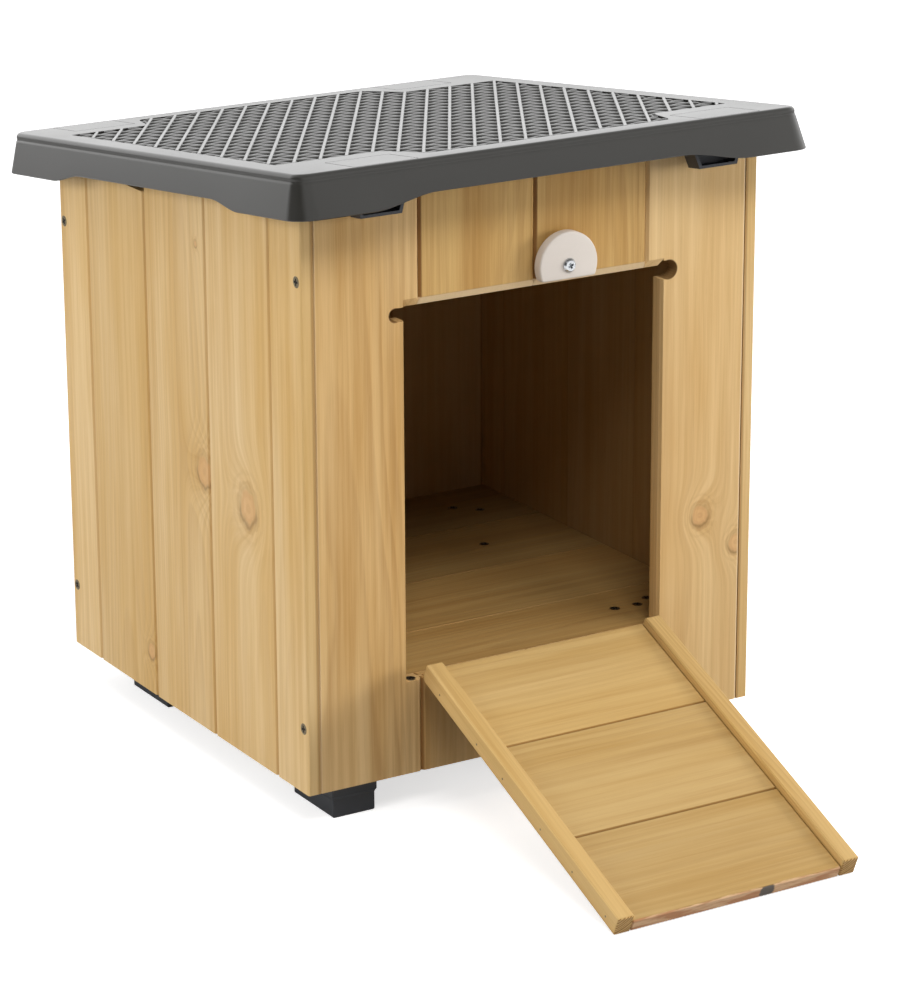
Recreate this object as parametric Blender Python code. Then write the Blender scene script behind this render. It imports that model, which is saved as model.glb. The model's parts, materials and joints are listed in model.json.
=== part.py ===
"""Outdoor dog kennel: a small pine house on four feet, with a hinged sloping plastic lid,
a ramp that folds up as its door, and a turn button that keeps the door shut.
Metres, +Z up, front towards -Y, origin on the ground in the middle of the whole."""
import math

import bpy
import bmesh
from mathutils import Vector

# Timber house, outside sizes, heights counted from the lower edge of the walls
house_width = 0.400
house_depth = 0.398
front_height = 0.4745
ground_clearance = 0.032
board_cover = 0.100
front_groove_shift = -0.0012
side_board = 0.010
end_board = 0.013
floor_board = 0.012
first_floor_cover = 0.079

# Tongue and groove joint between boards
joint_gap = 0.0003
tongue_length = 0.0040
tongue_thickness = 0.0030
tongue_clearance = 0.0004
wall_vee = 0.0021
floor_vee = 0.0009
arris = 0.0010

# Gap that fixed neighbours keep, and the overrun of every cut
seat = 0.0003
overrun = 0.010

# Side boards are cut level, each a little under the sloping lid
side_top_gap = 0.008
low_side_drop = 0.020

# Doorway in the front wall
doorway_width = 0.228
sill_height = 0.075
lintel_height = 0.3663
doorway_chamfer = 0.0035
lintel_chamfer = 0.0060
jamb_chamfer = 0.0010
corner_notch_reach = 0.013
left_notch_height = 0.0105
left_notch_rise = 0.0003
right_notch_height = 0.0150
right_notch_rise = 0.0040

# Rails and bearers inside
rail_thickness = 0.012
rail_depth = 0.028
top_rail_drop = 0.022
bearer_width = 0.045
bearer_height = 0.028

# Feet
foot_width = 0.0365
foot_length = 0.062
foot_shoe = 0.0155
foot_step = 0.0010
foot_arris = 0.0008
foot_inset = 0.050
front_foot_setback = 0.051
rear_foot_setback = 0.0725

# Lid: top outline, panel, stepped rim and drafted skirt
lid_pitch = math.radians(7.0)
lid_side_overhang = 0.0177
lid_front_overhang = 0.0299
lid_rear_overhang = 0.0493
lid_panel = 0.0035
lid_wall = 0.0028
lid_corner = 0.012
rim_round = 0.0035
rim_depth = 0.0062
rim_ledge = 0.0006
skirt_depth = 0.0323
side_flare = 0.0062
end_flare = 0.0093
side_low_length = 0.084
side_curve_length = 0.046
side_rise = 0.0064
end_low_length = 0.054
end_curve_length = 0.057
end_rise = 0.0081

# Sunken field and the four clip covers on the lid
field_margin = 0.0205
field_front_margin = 0.025
field_depth = 0.0021
field_notch_length = 0.045
field_left_step = 0.115
field_right_step = 0.095
field_step_width = 0.020
stake_width = 0.0033
stake_pitch = 0.0219
stake_slant = math.radians(31.0)
stake_start = 0.1253
stake_setback = 0.0375
cover_width = 0.056
cover_length = 0.046
cover_setback = 0.005
cover_depth = 0.0005
clip_inset = 0.0712

# Front catches under the lid
catch_top_width = 0.046
catch_foot_width = 0.034
catch_thickness = 0.015
catch_height = 0.0345
catch_setback = 0.010
catch_lip = 0.0022
catch_recess = 0.009

# Lid hinges on the rear wall
lid_axis_reach = 0.0155
lid_axis_drop = 0.0725
bracket_width = 0.044
bracket_plate = 0.0032
bracket_height = 0.030
bracket_rise = 0.013
lug_width = 0.0085
lug_round = 0.0060
arm_thickness = 0.0070
arm_foot_length = 0.0225
arm_foot_thickness = 0.0030
lid_pin_radius = 0.0025
pin_clearance = 0.0003
side_play = 0.0006
pin_head = 0.0012

# Ramp that closes the doorway
door_side_gap = 0.0085
door_top_gap = 0.0025
hinge_offset = 0.0040
ramp_axis_rise = 0.0008
ramp_rail_width = 0.014
ramp_rail_height = 0.016
ramp_board = 0.010
first_ramp_share = 0.3327
second_ramp_share = 0.3556
ramp_arris = 0.0010
ramp_end_round = 0.0050
ground_gap = 0.0002

# Butt hinges of the ramp
ramp_hinge_inset = 0.0455
butt_width = 0.040
butt_leaf = 0.022
butt_thickness = 0.0012
butt_knuckle = 0.0026
butt_pin = 0.0012
butt_sink = 0.0002
butt_root = 0.0008
butt_middle_share = 0.40

# Turn button
button_radius = 0.0255
button_thickness = 0.0090
button_flat = 0.0107
button_x = 0.0212
button_lift = 0.0161
button_arris = 0.0010
washer_radius = 0.008
washer_thickness = 0.0029
screw_shank = 0.0019
screw_head = 0.0055
screw_head_height = 0.0026
screw_grip = 0.0110
screw_slot_width = 0.0012
screw_slot_length = 0.0062
screw_slot_depth = 0.0012

# Places worked out from the sizes above
wall_foot = ground_clearance
inner_half = house_width / 2 - side_board
cabin_front = end_board
cabin_rear = house_depth - end_board
sill = wall_foot + sill_height
lintel = wall_foot + lintel_height
door_half = doorway_width / 2
front_top = wall_foot + front_height
slope = math.tan(lid_pitch)
lid_width = house_width + 2 * lid_side_overhang
lid_length = (lid_front_overhang + house_depth + lid_rear_overhang) / math.cos(lid_pitch)
clip_spread = lid_width / 2 - clip_inset
foot_spread = house_width / 2 - foot_inset
ramp_axis_y = -(butt_knuckle + seat)
ramp_axis_z = sill + ramp_axis_rise
ramp_length = lintel - door_top_gap - ramp_axis_z - hinge_offset
ramp_half = door_half - door_side_gap
ramp_hinge_spread = ramp_half - ramp_hinge_inset
ramp_under = butt_knuckle + seat
ramp_reach = math.hypot(hinge_offset + ramp_length, ramp_under)
ramp_lag = math.atan2(ramp_under, hinge_offset + ramp_length)
ramp_angle = math.asin((ramp_axis_z - ground_gap) / ramp_reach) + ramp_lag
ramp_nose = -ramp_axis_y + ramp_reach * math.cos(ramp_angle - ramp_lag)
ramp_nose_top = ramp_nose + (ramp_rail_height - ramp_arris) * math.sin(ramp_angle)
lid_axis_y = house_depth + lid_axis_reach
lid_axis_z = front_top - lid_axis_drop


def lid_place(y, z):
    """Local (y, z) in the lid's own tilted frame, whose origin is on its hinge axis."""
    back, up = y - lid_axis_y, z - lid_axis_z
    along = back * math.cos(lid_pitch) - up * math.sin(lid_pitch)
    return along, back * math.sin(lid_pitch) + up * math.cos(lid_pitch)


def under_lid(y):
    """Height of the lid panel's underside over a place behind the front face."""
    return front_top + seat - (y - cabin_front) * slope


lid_under = lid_place(cabin_front, front_top + seat)[1]
lid_top = lid_under + lid_panel
lid_front_z = under_lid(-lid_front_overhang) + lid_panel / math.cos(lid_pitch)
lid_front = lid_place(-lid_front_overhang, lid_front_z)[0]
lid_middle = lid_front + lid_length / 2
lid_tail = lid_front + lid_length + end_flare
lid_back_y = lid_axis_y + lid_tail * math.cos(lid_pitch)
lid_back_y += (lid_top - skirt_depth) * math.sin(lid_pitch)
front_y = (ramp_nose_top - lid_back_y) / 2


# Materials
def material(name, colour, roughness, metallic=0.0):
    made = bpy.data.materials.new(name)
    made.use_nodes = True
    shader = made.node_tree.nodes["Principled BSDF"]
    shader.inputs["Base Color"].default_value = (*colour, 1.0)
    shader.inputs["Roughness"].default_value = roughness
    shader.inputs["Metallic"].default_value = metallic
    made.diffuse_color = (*colour, 1.0)
    return made


def make_materials():
    return {
        "pine_side": material("pine_side", (0.66, 0.44, 0.20), 0.55),
        "pine_front": material("pine_front", (0.56, 0.36, 0.15), 0.55),
        "pine_ramp": material("pine_ramp", (0.63, 0.43, 0.19), 0.55),
        "pine_floor": material("pine_floor", (0.45, 0.30, 0.13), 0.60),
        "pine_rough": material("pine_rough", (0.58, 0.42, 0.22), 0.70),
        "lid_plastic": material("lid_plastic", (0.13, 0.13, 0.125), 0.45),
        "black_plastic": material("black_plastic", (0.03, 0.03, 0.035), 0.50),
        "zinc_steel": material("zinc_steel", (0.62, 0.62, 0.60), 0.35, 1.0),
        "button_plastic": material("button_plastic", (0.66, 0.60, 0.54), 0.50),
    }


# Building helpers
def new_object(name, bm, mat, origin=Vector((0, 0, 0)), parent=None, smooth=None):
    """Makes an object whose own origin lies at the given point of its parent's frame."""
    bmesh.ops.translate(bm, verts=bm.verts, vec=-origin)
    bmesh.ops.recalc_face_normals(bm, faces=bm.faces)
    mesh = bpy.data.meshes.new(name)
    bm.to_mesh(mesh)
    bm.free()
    mesh.materials.append(mat)
    if smooth is not None:
        mesh.shade_smooth()
        mesh.set_sharp_from_angle(angle=smooth)
    obj = bpy.data.objects.new(name, mesh)
    obj.location = origin
    obj.parent = parent
    bpy.context.scene.collection.objects.link(obj)
    return obj


def prism(outline, low, high, place):
    """Extrudes an outline of (a, b) points from low to high; place turns (a, b, c) into a point."""
    bm = bmesh.new()
    face = bm.faces.new([bm.verts.new(place(a, b, low)) for a, b in outline])
    grown = bmesh.ops.extrude_face_region(bm, geom=[face])["geom"]
    moved = [v for v in grown if isinstance(v, bmesh.types.BMVert)]
    bmesh.ops.translate(bm, verts=moved, vec=place(0, 0, high) - place(0, 0, low))
    return bm


def along_x(a, b, c):
    return Vector((c, a, b))


def along_y(a, b, c):
    return Vector((a, c, b))


def along_z(a, b, c):
    return Vector((a, b, c))


def rectangle(a0, b0, a1, b1):
    return [(a0, b0), (a1, b0), (a1, b1), (a0, b1)]


def arc(centre, radius, start, stop, steps):
    """Points on an arc, angles in degrees."""
    points = []
    for i in range(steps + 1):
        turn = math.radians(start + (stop - start) * i / steps)
        points.append((centre[0] + radius * math.cos(turn), centre[1] + radius * math.sin(turn)))
    return points


def circle(centre, radius, steps):
    return arc(centre, radius, 0, 360, steps)[:-1]


def bevel(obj, width, segments=1):
    cut = obj.modifiers.new("bevel", "BEVEL")
    cut.width = width
    cut.segments = segments
    cut.limit_method = "ANGLE"
    cut.angle_limit = math.radians(50)


def block(name, low, high, mat, parent=None, edge=None):
    """A timber or plastic block between two corners, its origin in its middle."""
    outline = rectangle(low[0], low[1], high[0], high[1])
    bm = prism(outline, low[2], high[2], along_z)
    middle = (Vector(low) + Vector(high)) / 2
    obj = new_object(name, bm, mat, middle, parent)
    if edge:
        bevel(obj, edge)
    return obj


def cutter(name, bm, parent=None):
    """A guide solid that only cuts others."""
    bmesh.ops.recalc_face_normals(bm, faces=bm.faces)
    mesh = bpy.data.meshes.new(name)
    bm.to_mesh(mesh)
    bm.free()
    obj = bpy.data.objects.new(name, mesh)
    obj.parent = parent
    obj.hide_render = True
    obj.display_type = "WIRE"
    bpy.context.scene.collection.objects.link(obj)
    return obj


def cut(obj, *tools):
    for tool in tools:
        step = obj.modifiers.new(tool.name, "BOOLEAN")
        step.operation = "DIFFERENCE"
        step.solver = "EXACT"
        step.object = tool


def join(obj, *tools):
    for tool in tools:
        step = obj.modifiers.new(tool.name, "BOOLEAN")
        step.operation = "UNION"
        step.solver = "EXACT"
        step.object = tool


def empty(name, location, turn):
    made = bpy.data.objects.new(name, None)
    made.location = location
    made.rotation_euler = (turn, 0, 0)
    bpy.context.scene.collection.objects.link(made)
    return made


# Boards of the walls and the floor
def board_outline(start, stop, thickness, vee, grooved, tongued):
    """Section of a board: a runs across its width, b from its face to its back."""
    a0 = start + joint_gap / 2 if grooved else start
    a1 = stop - joint_gap / 2 if tongued else stop
    v0 = vee if grooved else arris
    v1 = vee if tongued else arris
    t0 = (thickness - tongue_thickness) / 2
    t1 = t0 + tongue_thickness
    points = [(a0 + v0, 0), (a1 - v1, 0), (a1, v1)]
    if tongued:
        tip = a1 + tongue_length
        points += [(a1, t0), (tip, t0), (tip, t1), (a1, t1)]
    points += [(a1, thickness), (a0, thickness)]
    if grooved:
        root = a0 + joint_gap + tongue_length + tongue_clearance
        g0, g1 = t0 - tongue_clearance, t1 + tongue_clearance
        points += [(a0, g1), (root, g1), (root, g0), (a0, g0)]
    points.append((a0, v0))
    return points


def wall_board(name, edges, index, low, high, thickness, place, mat):
    """One upright board of a wall, between two neighbouring joint lines."""
    last = len(edges) - 2
    outline = board_outline(
        edges[index], edges[index + 1], thickness, wall_vee, index > 0, index < last
    )
    bm = prism(outline, low, high, place)
    middle = (edges[index] + edges[index + 1]) / 2
    return new_object(name, bm, mat, place(middle, 0, low))


def make_side_walls(mats):
    half = (house_depth - 3 * board_cover) / 2
    edges = [0, half]
    for _ in range(3):
        edges.append(edges[-1] + board_cover)
    edges.append(house_depth)
    low_top = under_lid(edges[4]) - low_side_drop
    for side, sign in (("left", -1), ("right", 1)):

        def place(a, b, c, sign=sign):
            return Vector((sign * (house_width / 2 - b), front_y + a, c))

        for i in range(5):
            top = low_top if i > 2 else under_lid(edges[i + 1]) - side_top_gap
            name = f"{side}_wall_board_{i + 1}"
            wall_board(name, edges, i, wall_foot, top, side_board, place, mats["pine_side"])


def end_wall_edges():
    half = inner_half - seat
    shift = front_groove_shift
    return [-half, shift - board_cover, shift, shift + board_cover, half]


def notch_cutter(name, sign, height, rise):
    """Round-ended slot at an upper corner of the doorway."""
    radius = height / 2
    x = door_half + corner_notch_reach - radius
    z = lintel + rise - radius
    points = [(sign * (door_half - overrun), z - radius)]
    points += [(sign * (x + u), z + v) for u, v in arc((0, 0), radius, -90, 90, 12)]
    points.append((sign * (door_half - overrun), z + radius))
    start, stop = front_y - overrun, front_y + end_board + overrun
    slot = prism(points, start, stop, along_y)
    inside = [v for v in slot.verts if abs(v.co.x) < door_half and v.co.z > z]
    for v in inside:
        v.co.x = sign * door_half
    return cutter(name, slot)


def doorway_cutter():
    """The doorway with its chamfered front edge."""
    bm = prism(
        rectangle(-door_half, sill, door_half, lintel),
        front_y,
        front_y + end_board + overrun,
        along_y,
    )
    wide = doorway_chamfer
    front = [v for v in bm.verts if v.co.y < front_y + seat]
    for v in front:
        v.co.y = front_y + wide
    face = next(f for f in bm.faces if all(v in front for v in f.verts))
    grown = bmesh.ops.extrude_face_region(bm, geom=[face])["geom"]
    far = wide + overrun
    for v in (g for g in grown if isinstance(g, bmesh.types.BMVert)):
        v.co.y -= far
        v.co.x += math.copysign(far * jamb_chamfer / wide, v.co.x)
        v.co.z += far * lintel_chamfer / wide if v.co.z > (sill + lintel) / 2 else -wide
    bmesh.ops.delete(bm, geom=[face], context="FACES_ONLY")
    return cutter("doorway_cutter", bm)


def make_front_wall(mats, doorway, button_hole):
    edges = end_wall_edges()

    def place(a, b, c):
        return Vector((a, front_y + b, c))

    def board(name, index, low, high):
        return wall_board(name, edges, index, low, high, end_board, place, mats["pine_front"])

    left = board("front_wall_board_left", 0, wall_foot, front_top)
    right = board("front_wall_board_right", 3, wall_foot, front_top)
    left_notch = notch_cutter("left_notch_cutter", -1, left_notch_height, left_notch_rise)
    right_notch = notch_cutter("right_notch_cutter", 1, right_notch_height, right_notch_rise)
    cut(left, doorway, left_notch)
    cut(right, doorway, right_notch)
    for i, side in ((1, "left"), (2, "right")):
        cut(board(f"sill_board_{side}", i, wall_foot, sill + overrun), doorway)
        over = board(f"lintel_board_{side}", i, lintel - overrun, front_top)
        cut(over, doorway)
        if side == "right":
            cut(over, button_hole)


def make_rear_wall(mats):
    edges = end_wall_edges()
    top = under_lid(house_depth) - seat

    def place(a, b, c):
        return Vector((a, front_y + house_depth - b, c))

    for i in range(4):
        name = f"rear_wall_board_{i + 1}"
        wall_board(name, edges, i, wall_foot, top, end_board, place, mats["pine_front"])


def make_floor(mats):
    edges = [cabin_front + seat, cabin_front + first_floor_cover]
    edges += [edges[1] + board_cover, edges[1] + 2 * board_cover, cabin_rear - seat]
    reach = inner_half - seat

    def place(a, b, c):
        return Vector((c, front_y + a, sill - b))

    for i in range(4):
        outline = board_outline(edges[i], edges[i + 1], floor_board, floor_vee, i > 0, i < 3)
        bm = prism(outline, -reach, reach, place)
        new_object(f"floor_board_{i + 1}", bm, mats["pine_floor"], place(edges[i], 0, 0))


# Rails and bearers that tie the boards together
def make_rails(mats):
    mat = mats["pine_rough"]
    top = sill - floor_board - seat
    low = top - bearer_height
    front, rear = front_y + cabin_front + seat, front_y + cabin_rear - seat
    outer = inner_half - seat
    bearer_edge = outer - bearer_width
    level = under_lid(cabin_rear) - top_rail_drop
    for side, sign in (("left", -1), ("right", 1)):
        x0, x1 = sorted((sign * bearer_edge, sign * outer))
        block(f"{side}_floor_bearer", (x0, front, low), (x1, rear, top), mat, edge=arris)
        x0, x1 = sorted((sign * (outer - rail_thickness), sign * outer))
        start = (x0, front + rail_thickness + seat, level - rail_depth)
        stop = (x1, rear - rail_thickness - seat, level)
        block(f"{side}_top_rail", start, stop, mat, edge=arris)
    reach = bearer_edge - seat
    stop = (reach, front + rail_thickness, top)
    block("sill_rail", (-reach, front, low), stop, mat, edge=arris)
    start = (-reach, rear - rail_thickness, low)
    block("rear_bottom_rail", start, (reach, rear, top), mat, edge=arris)
    start = (-outer, rear - rail_thickness, level - rail_depth)
    block("rear_top_rail", start, (outer, rear, level), mat, edge=arris)
    level = under_lid(cabin_front + rail_thickness) - top_rail_drop
    start = (-outer, front, level - rail_depth)
    stop = (outer, front + rail_thickness, level)
    block("lintel_rail", start, stop, mat, edge=arris)


# Feet
def make_foot(name, x, y, mat):
    """Stepped moulded block: a narrower shoe below, the body above up to the bearer."""
    top = sill - floor_board - 2 * seat - bearer_height
    half_x, half_y = foot_width / 2, foot_length / 2
    outline = rectangle(-half_x, -half_y, half_x, half_y)
    bm = prism(outline, 0, foot_shoe, along_z)
    bm.faces.ensure_lookup_table()
    cap = max(bm.faces, key=lambda f: f.calc_center_median().z)
    bmesh.ops.inset_region(bm, faces=[cap], thickness=foot_step)
    for v in bm.verts:
        inside = abs(v.co.x) < half_x - seat
        if inside and v.co.z > foot_shoe - seat:
            v.co.x += math.copysign(2 * foot_step, v.co.x)
            v.co.y += math.copysign(2 * foot_step, v.co.y)
            v.co.z += foot_step
    grown = bmesh.ops.extrude_face_region(bm, geom=[cap])["geom"]
    rise = top - foot_shoe - foot_step
    for v in (g for g in grown if isinstance(g, bmesh.types.BMVert)):
        v.co.z += rise
    bmesh.ops.delete(bm, geom=[cap], context="FACES_ONLY")
    bmesh.ops.translate(bm, verts=bm.verts, vec=Vector((x, y, 0)))
    obj = new_object(name, bm, mat, Vector((x, y, 0)))
    bevel(obj, foot_arris)


def make_feet(mats):
    front = front_y + front_foot_setback
    rear = front_y + house_depth - rear_foot_setback
    for end, y in (("front", front), ("rear", rear)):
        for side, x in (("left", -foot_spread), ("right", foot_spread)):
            make_foot(f"{end}_{side}_foot", x, y, mats["black_plastic"])


# Lid
def ease(share):
    """Smooth step from 0 to 1."""
    return share * share * (3 - 2 * share)


def side_stations(half, low_length, curve_length):
    """Places along one side of the lid, denser where its lower edge curves up."""
    start = half - low_length
    steps = 7
    near = [-start + curve_length * i / steps for i in range(steps + 1)]
    return near + [-s for s in reversed(near)]


def rise_at(place, half, low_length, curve_length, rise):
    depth = (half - low_length - abs(place)) / curve_length
    return rise * ease(min(max(depth, 0.0), 1.0))


def lid_ring(bm, out, down, flare=0.0, scalloped=False):
    """One ring of points round the lid, out from its top outline and down from its top.
    The skirt's lower edge rises along each side, and draws in as the drafted skirt does."""
    half_x, half_y = lid_width / 2, lid_length / 2
    wide, long = out + flare * side_flare, out + flare * end_flare
    corner_x, corner_y = lid_corner + wide, lid_corner + long
    x, y = half_x + wide, half_y + long
    front = side_stations(half_x, end_low_length, end_curve_length)
    flank = side_stations(half_y, side_low_length, side_curve_length)
    drop = skirt_depth - rim_depth - rim_ledge
    points = []

    def turn(cx, cy, start):
        for a, b in arc((0, 0), 1, start, start + 90, 5):
            points.append((cx + a * corner_x, cy + b * corner_y, 0))

    def edge(places, half, low_length, curve_length, rise, lean, set_out, put):
        for s in places:
            lift = rise_at(s, half, low_length, curve_length, rise) if scalloped else 0
            points.append((*put(s, set_out - lift * lean / drop), lift))

    end = (half_x, end_low_length, end_curve_length, end_rise, end_flare, y)
    side = (half_y, side_low_length, side_curve_length, side_rise, side_flare, x)
    turn(-x + corner_x, -y + corner_y, 180)
    edge(front, *end, lambda s, d: (s, -d))
    turn(x - corner_x, -y + corner_y, 270)
    edge(flank, *side, lambda s, d: (d, s))
    turn(x - corner_x, y - corner_y, 0)
    edge(front, *end, lambda s, d: (-s, d))
    turn(-x + corner_x, y - corner_y, 90)
    edge(flank, *side, lambda s, d: (-d, -s))
    return [bm.verts.new((a, lid_middle + b, lid_top - down + z)) for a, b, z in points]


def lid_profile():
    """Rows of (out, down, share of the flare, scalloped): rim, skirt, then the inside."""
    turn = arc((-rim_round, rim_round), rim_round, 0, 90, 3)
    return [(out, 2 * rim_round - up) for out, up in reversed(turn)] + [
        (0, rim_depth),
        (rim_ledge, rim_depth + rim_ledge),
        (0, skirt_depth, 1.0, True),
        (-lid_wall, skirt_depth, 1.0, True),
        (rim_ledge - lid_wall, rim_depth + lid_wall),
        (-lid_wall, lid_panel),
    ]


def make_lid(mats, frame):
    bm = bmesh.new()
    rings = [lid_ring(bm, *row) for row in lid_profile()]
    count = len(rings[0])
    for upper, lower in zip(rings, rings[1:]):
        for i in range(count):
            j = (i + 1) % count
            bm.faces.new((upper[i], lower[i], lower[j], upper[j]))
    bm.faces.new(rings[0])
    bm.faces.new(list(reversed(rings[-1])))
    lid = new_object("lid", bm, mats["lid_plastic"], parent=frame, smooth=math.radians(32))
    cut(lid, field_cutter(frame))
    for i, (x, y, _) in enumerate(cover_places()):
        half = cover_width / 2
        y0, y1 = sorted((y, y + cover_length * (1 if i < 2 else -1)))
        outline = rectangle(x - half, y0, x + half, y1)
        bm = prism(outline, lid_top - cover_depth, lid_top + overrun, along_z)
        cut(lid, cutter(f"cover_cutter_{i + 1}", bm, frame))
    return lid


def cover_places():
    front = lid_front + cover_setback
    rear = lid_front + lid_length - cover_setback
    places = [(sign * clip_spread, front, 1) for sign in (-1, 1)]
    return places + [(sign * clip_spread, rear, -1) for sign in (-1, 1)]


def field_edge(half, left, right, near, deep):
    """Edge of the sunken field as (across, from the lid's end): it swings out round the
    clip cover near either corner."""
    steps = 6
    swing = [(i / steps, ease(i / steps)) for i in range(steps + 1)]
    start = left - field_step_width / 2
    points = [(-half, deep)]
    points += [(start + field_step_width * i, deep + (near - deep) * e) for i, e in swing]
    start = right - field_step_width / 2
    points += [(start + field_step_width * i, near + (deep - near) * e) for i, e in swing]
    return points + [(half, deep)]


def field_cutter(frame):
    """The sunken field, less the main stakes of its weave, every third of the real ones."""
    half = lid_width / 2 - field_margin
    near = field_front_margin
    edge = field_edge(
        half, field_left_step - lid_width / 2, lid_width / 2 - field_right_step,
        near, near + field_notch_length,
    )
    rear = lid_front + lid_length
    outline = [(x, lid_front + d) for x, d in edge] + [(-x, rear - d) for x, d in edge]
    bm = prism(outline, lid_top - field_depth, lid_top + overrun, along_z)
    field = cutter("field_cutter", bm, frame)
    lean = math.tan(stake_slant)
    low, high = lid_front - overrun, rear + overrun
    wide = stake_width / math.cos(stake_slant) / 2
    pitch = 3 * stake_pitch
    reach = math.ceil(lid_length / pitch)
    for i in range(-reach, reach + 1):
        x = stake_start - lid_width / 2 + i * pitch
        ends = [(x + (y - lid_front - stake_setback) * lean, y) for y in (low, high)]
        if ends[1][0] < -half or ends[0][0] > half:
            continue
        outline = [(ends[0][0] - wide, low), (ends[0][0] + wide, low)]
        outline += [(ends[1][0] + wide, high), (ends[1][0] - wide, high)]
        bm = prism(outline, lid_top - field_depth - overrun, lid_top + 2 * overrun, along_z)
        cut(field, cutter(f"stake_tool_{i}", bm, frame))
    return field


# Catches that hang from the lid in front of the front wall
def make_catches(mats, frame):
    top = lid_under - seat
    low = top - catch_height
    start = lid_front + catch_setback
    stop = start + catch_thickness
    for side, sign in (("left", -1), ("right", 1)):
        x = sign * clip_spread
        wide, narrow = catch_top_width / 2, catch_foot_width / 2
        shoulder = top - catch_height / 2
        outline = [(x - wide, top), (x - wide, shoulder), (x - narrow, low)]
        outline += [(x + narrow, low), (x + wide, shoulder), (x + wide, top)]
        bm = prism(outline, start, stop, along_y)
        obj = new_object(f"front_catch_{side}", bm, mats["black_plastic"], parent=frame)
        wide -= catch_lip
        narrow -= catch_lip
        low_lip = low + catch_lip
        outline = [(x - wide, top - catch_lip), (x - wide, shoulder), (x - narrow, low_lip)]
        outline += [(x + narrow, low_lip), (x + wide, shoulder), (x + wide, top - catch_lip)]
        bm = prism(outline, start - overrun, start + catch_recess, along_y)
        cut(obj, cutter(f"catch_cutter_{side}", bm, frame))


# Lid hinges: bracket on the wall, arm on the lid, pin
def make_lid_hinges(mats, frame):
    axis_y, axis_z = front_y + lid_axis_y, lid_axis_z
    wall_y = front_y + house_depth + seat
    plate_low = lid_axis_z - bracket_height / 2 - bracket_rise / 2
    plate_high = plate_low + bracket_height
    for side, sign in (("left", -1), ("right", 1)):
        x = sign * clip_spread
        half = bracket_width / 2
        outline = rectangle(wall_y, plate_low, wall_y + bracket_plate, plate_high)
        bm = prism(outline, x - half, x + half, along_x)
        origin = Vector((x, wall_y, plate_low))
        name = f"hinge_bracket_{side}"
        bracket = new_object(name, bm, mats["black_plastic"], origin)
        bore = circle((axis_y, axis_z), lid_pin_radius + pin_clearance, 24)
        reach = half + overrun
        bm = prism(bore, x - reach, x + reach, along_x)
        bore_tool = cutter(f"bracket_bore_{side}", bm)
        for tag, edge in (("a", x - half), ("b", x + half - lug_width)):
            outline = arc((axis_y, axis_z), lug_round, -90, 90, 12)
            root = wall_y + bracket_plate / 2
            outline += [(root, axis_z + lug_round), (root, axis_z - lug_round)]
            bm = prism(outline, edge, edge + lug_width, along_x)
            join(bracket, cutter(f"lug_{tag}_{side}", bm))
        cut(bracket, bore_tool)
        make_hinge_arm(mats, frame, side, x)
        bm = prism(circle((axis_y, axis_z), lid_pin_radius, 24), x - half, x + half, along_x)
        caps = [f for f in bm.faces if abs(f.normal.x) > math.cos(math.radians(30))]
        for f in caps:
            out = math.copysign(pin_head, f.calc_center_median().x - x)
            grown = bmesh.ops.extrude_face_region(bm, geom=[f])["geom"]
            moved = [v for v in grown if isinstance(v, bmesh.types.BMVert)]
            bmesh.ops.translate(bm, verts=moved, vec=Vector((out, 0, 0)))
        bmesh.ops.delete(bm, geom=caps, context="FACES_ONLY")
        origin = Vector((x, axis_y, axis_z))
        new_object(f"lid_pin_{side}", bm, mats["zinc_steel"], origin, smooth=math.radians(40))


def make_hinge_arm(mats, frame, side, x):
    """Knuckle round the pin, with a web up to a foot under the lid panel."""
    half = bracket_width / 2 - lug_width - side_play
    top = lid_under - seat
    foot = top - arm_foot_thickness
    web = arm_thickness / 2
    spread = arm_foot_length / 2
    side_turn = math.degrees(math.acos(web / lug_round))
    outline = [(-spread, foot), (-web, foot)]
    outline += arc((0, 0), lug_round, 180 - side_turn, 360 + side_turn, 18)
    outline += [(web, foot), (spread, foot), (spread, top), (-spread, top)]
    bm = prism(outline, x - half, x + half, along_x)
    obj = new_object(f"hinge_arm_{side}", bm, mats["black_plastic"], parent=frame)
    bore = circle((0, 0), lid_pin_radius + pin_clearance, 24)
    reach = half + overrun
    cut(obj, cutter(f"arm_bore_{side}", prism(bore, x - reach, x + reach, along_x), frame))


# Ramp, modelled flat in its own tilted frame: forward is -Y, its hinge axis the origin
def make_ramp(mats, frame):
    mat = mats["pine_ramp"]
    start, stop = -hinge_offset, -hinge_offset - ramp_length
    rail_high = ramp_under + ramp_rail_height
    inner = ramp_half - ramp_rail_width
    for side, sign in (("left", -1), ("right", 1)):
        low_c = (start - ramp_end_round, ramp_under + ramp_end_round)
        top_c = (start - ramp_end_round / 2, rail_high - ramp_end_round / 2)
        outline = [(stop + ramp_arris, ramp_under), (stop, ramp_under + ramp_arris)]
        outline += [(stop, rail_high - ramp_arris), (stop + ramp_arris, rail_high)]
        outline += reversed(arc(top_c, ramp_end_round / 2, 0, 90, 4))
        outline += reversed(arc(low_c, ramp_end_round, -90, 0, 5))
        x0, x1 = sorted((sign * inner, sign * ramp_half))
        bm = prism(outline, x0, x1, along_x)
        rail = new_object(f"ramp_rail_{side}", bm, mat, parent=frame)
        bevel(rail, ramp_arris)
    reach = inner - seat
    edges = [start, start - ramp_length * first_ramp_share]
    edges += [edges[1] - ramp_length * second_ramp_share, stop]
    for i in range(3):
        y0, y1 = edges[i + 1] + joint_gap / 2, edges[i] - joint_gap / 2
        low = (-reach, y0, ramp_under)
        high = (reach, y1, ramp_under + ramp_board)
        block(f"ramp_board_{i + 1}", low, high, mat, frame, ramp_arris)


def knuckle_tool(name, x0, x1, frame):
    ring = circle((0, 0), butt_knuckle, 20)
    return cutter(name, prism(ring, x0, x1, along_x), frame)


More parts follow.
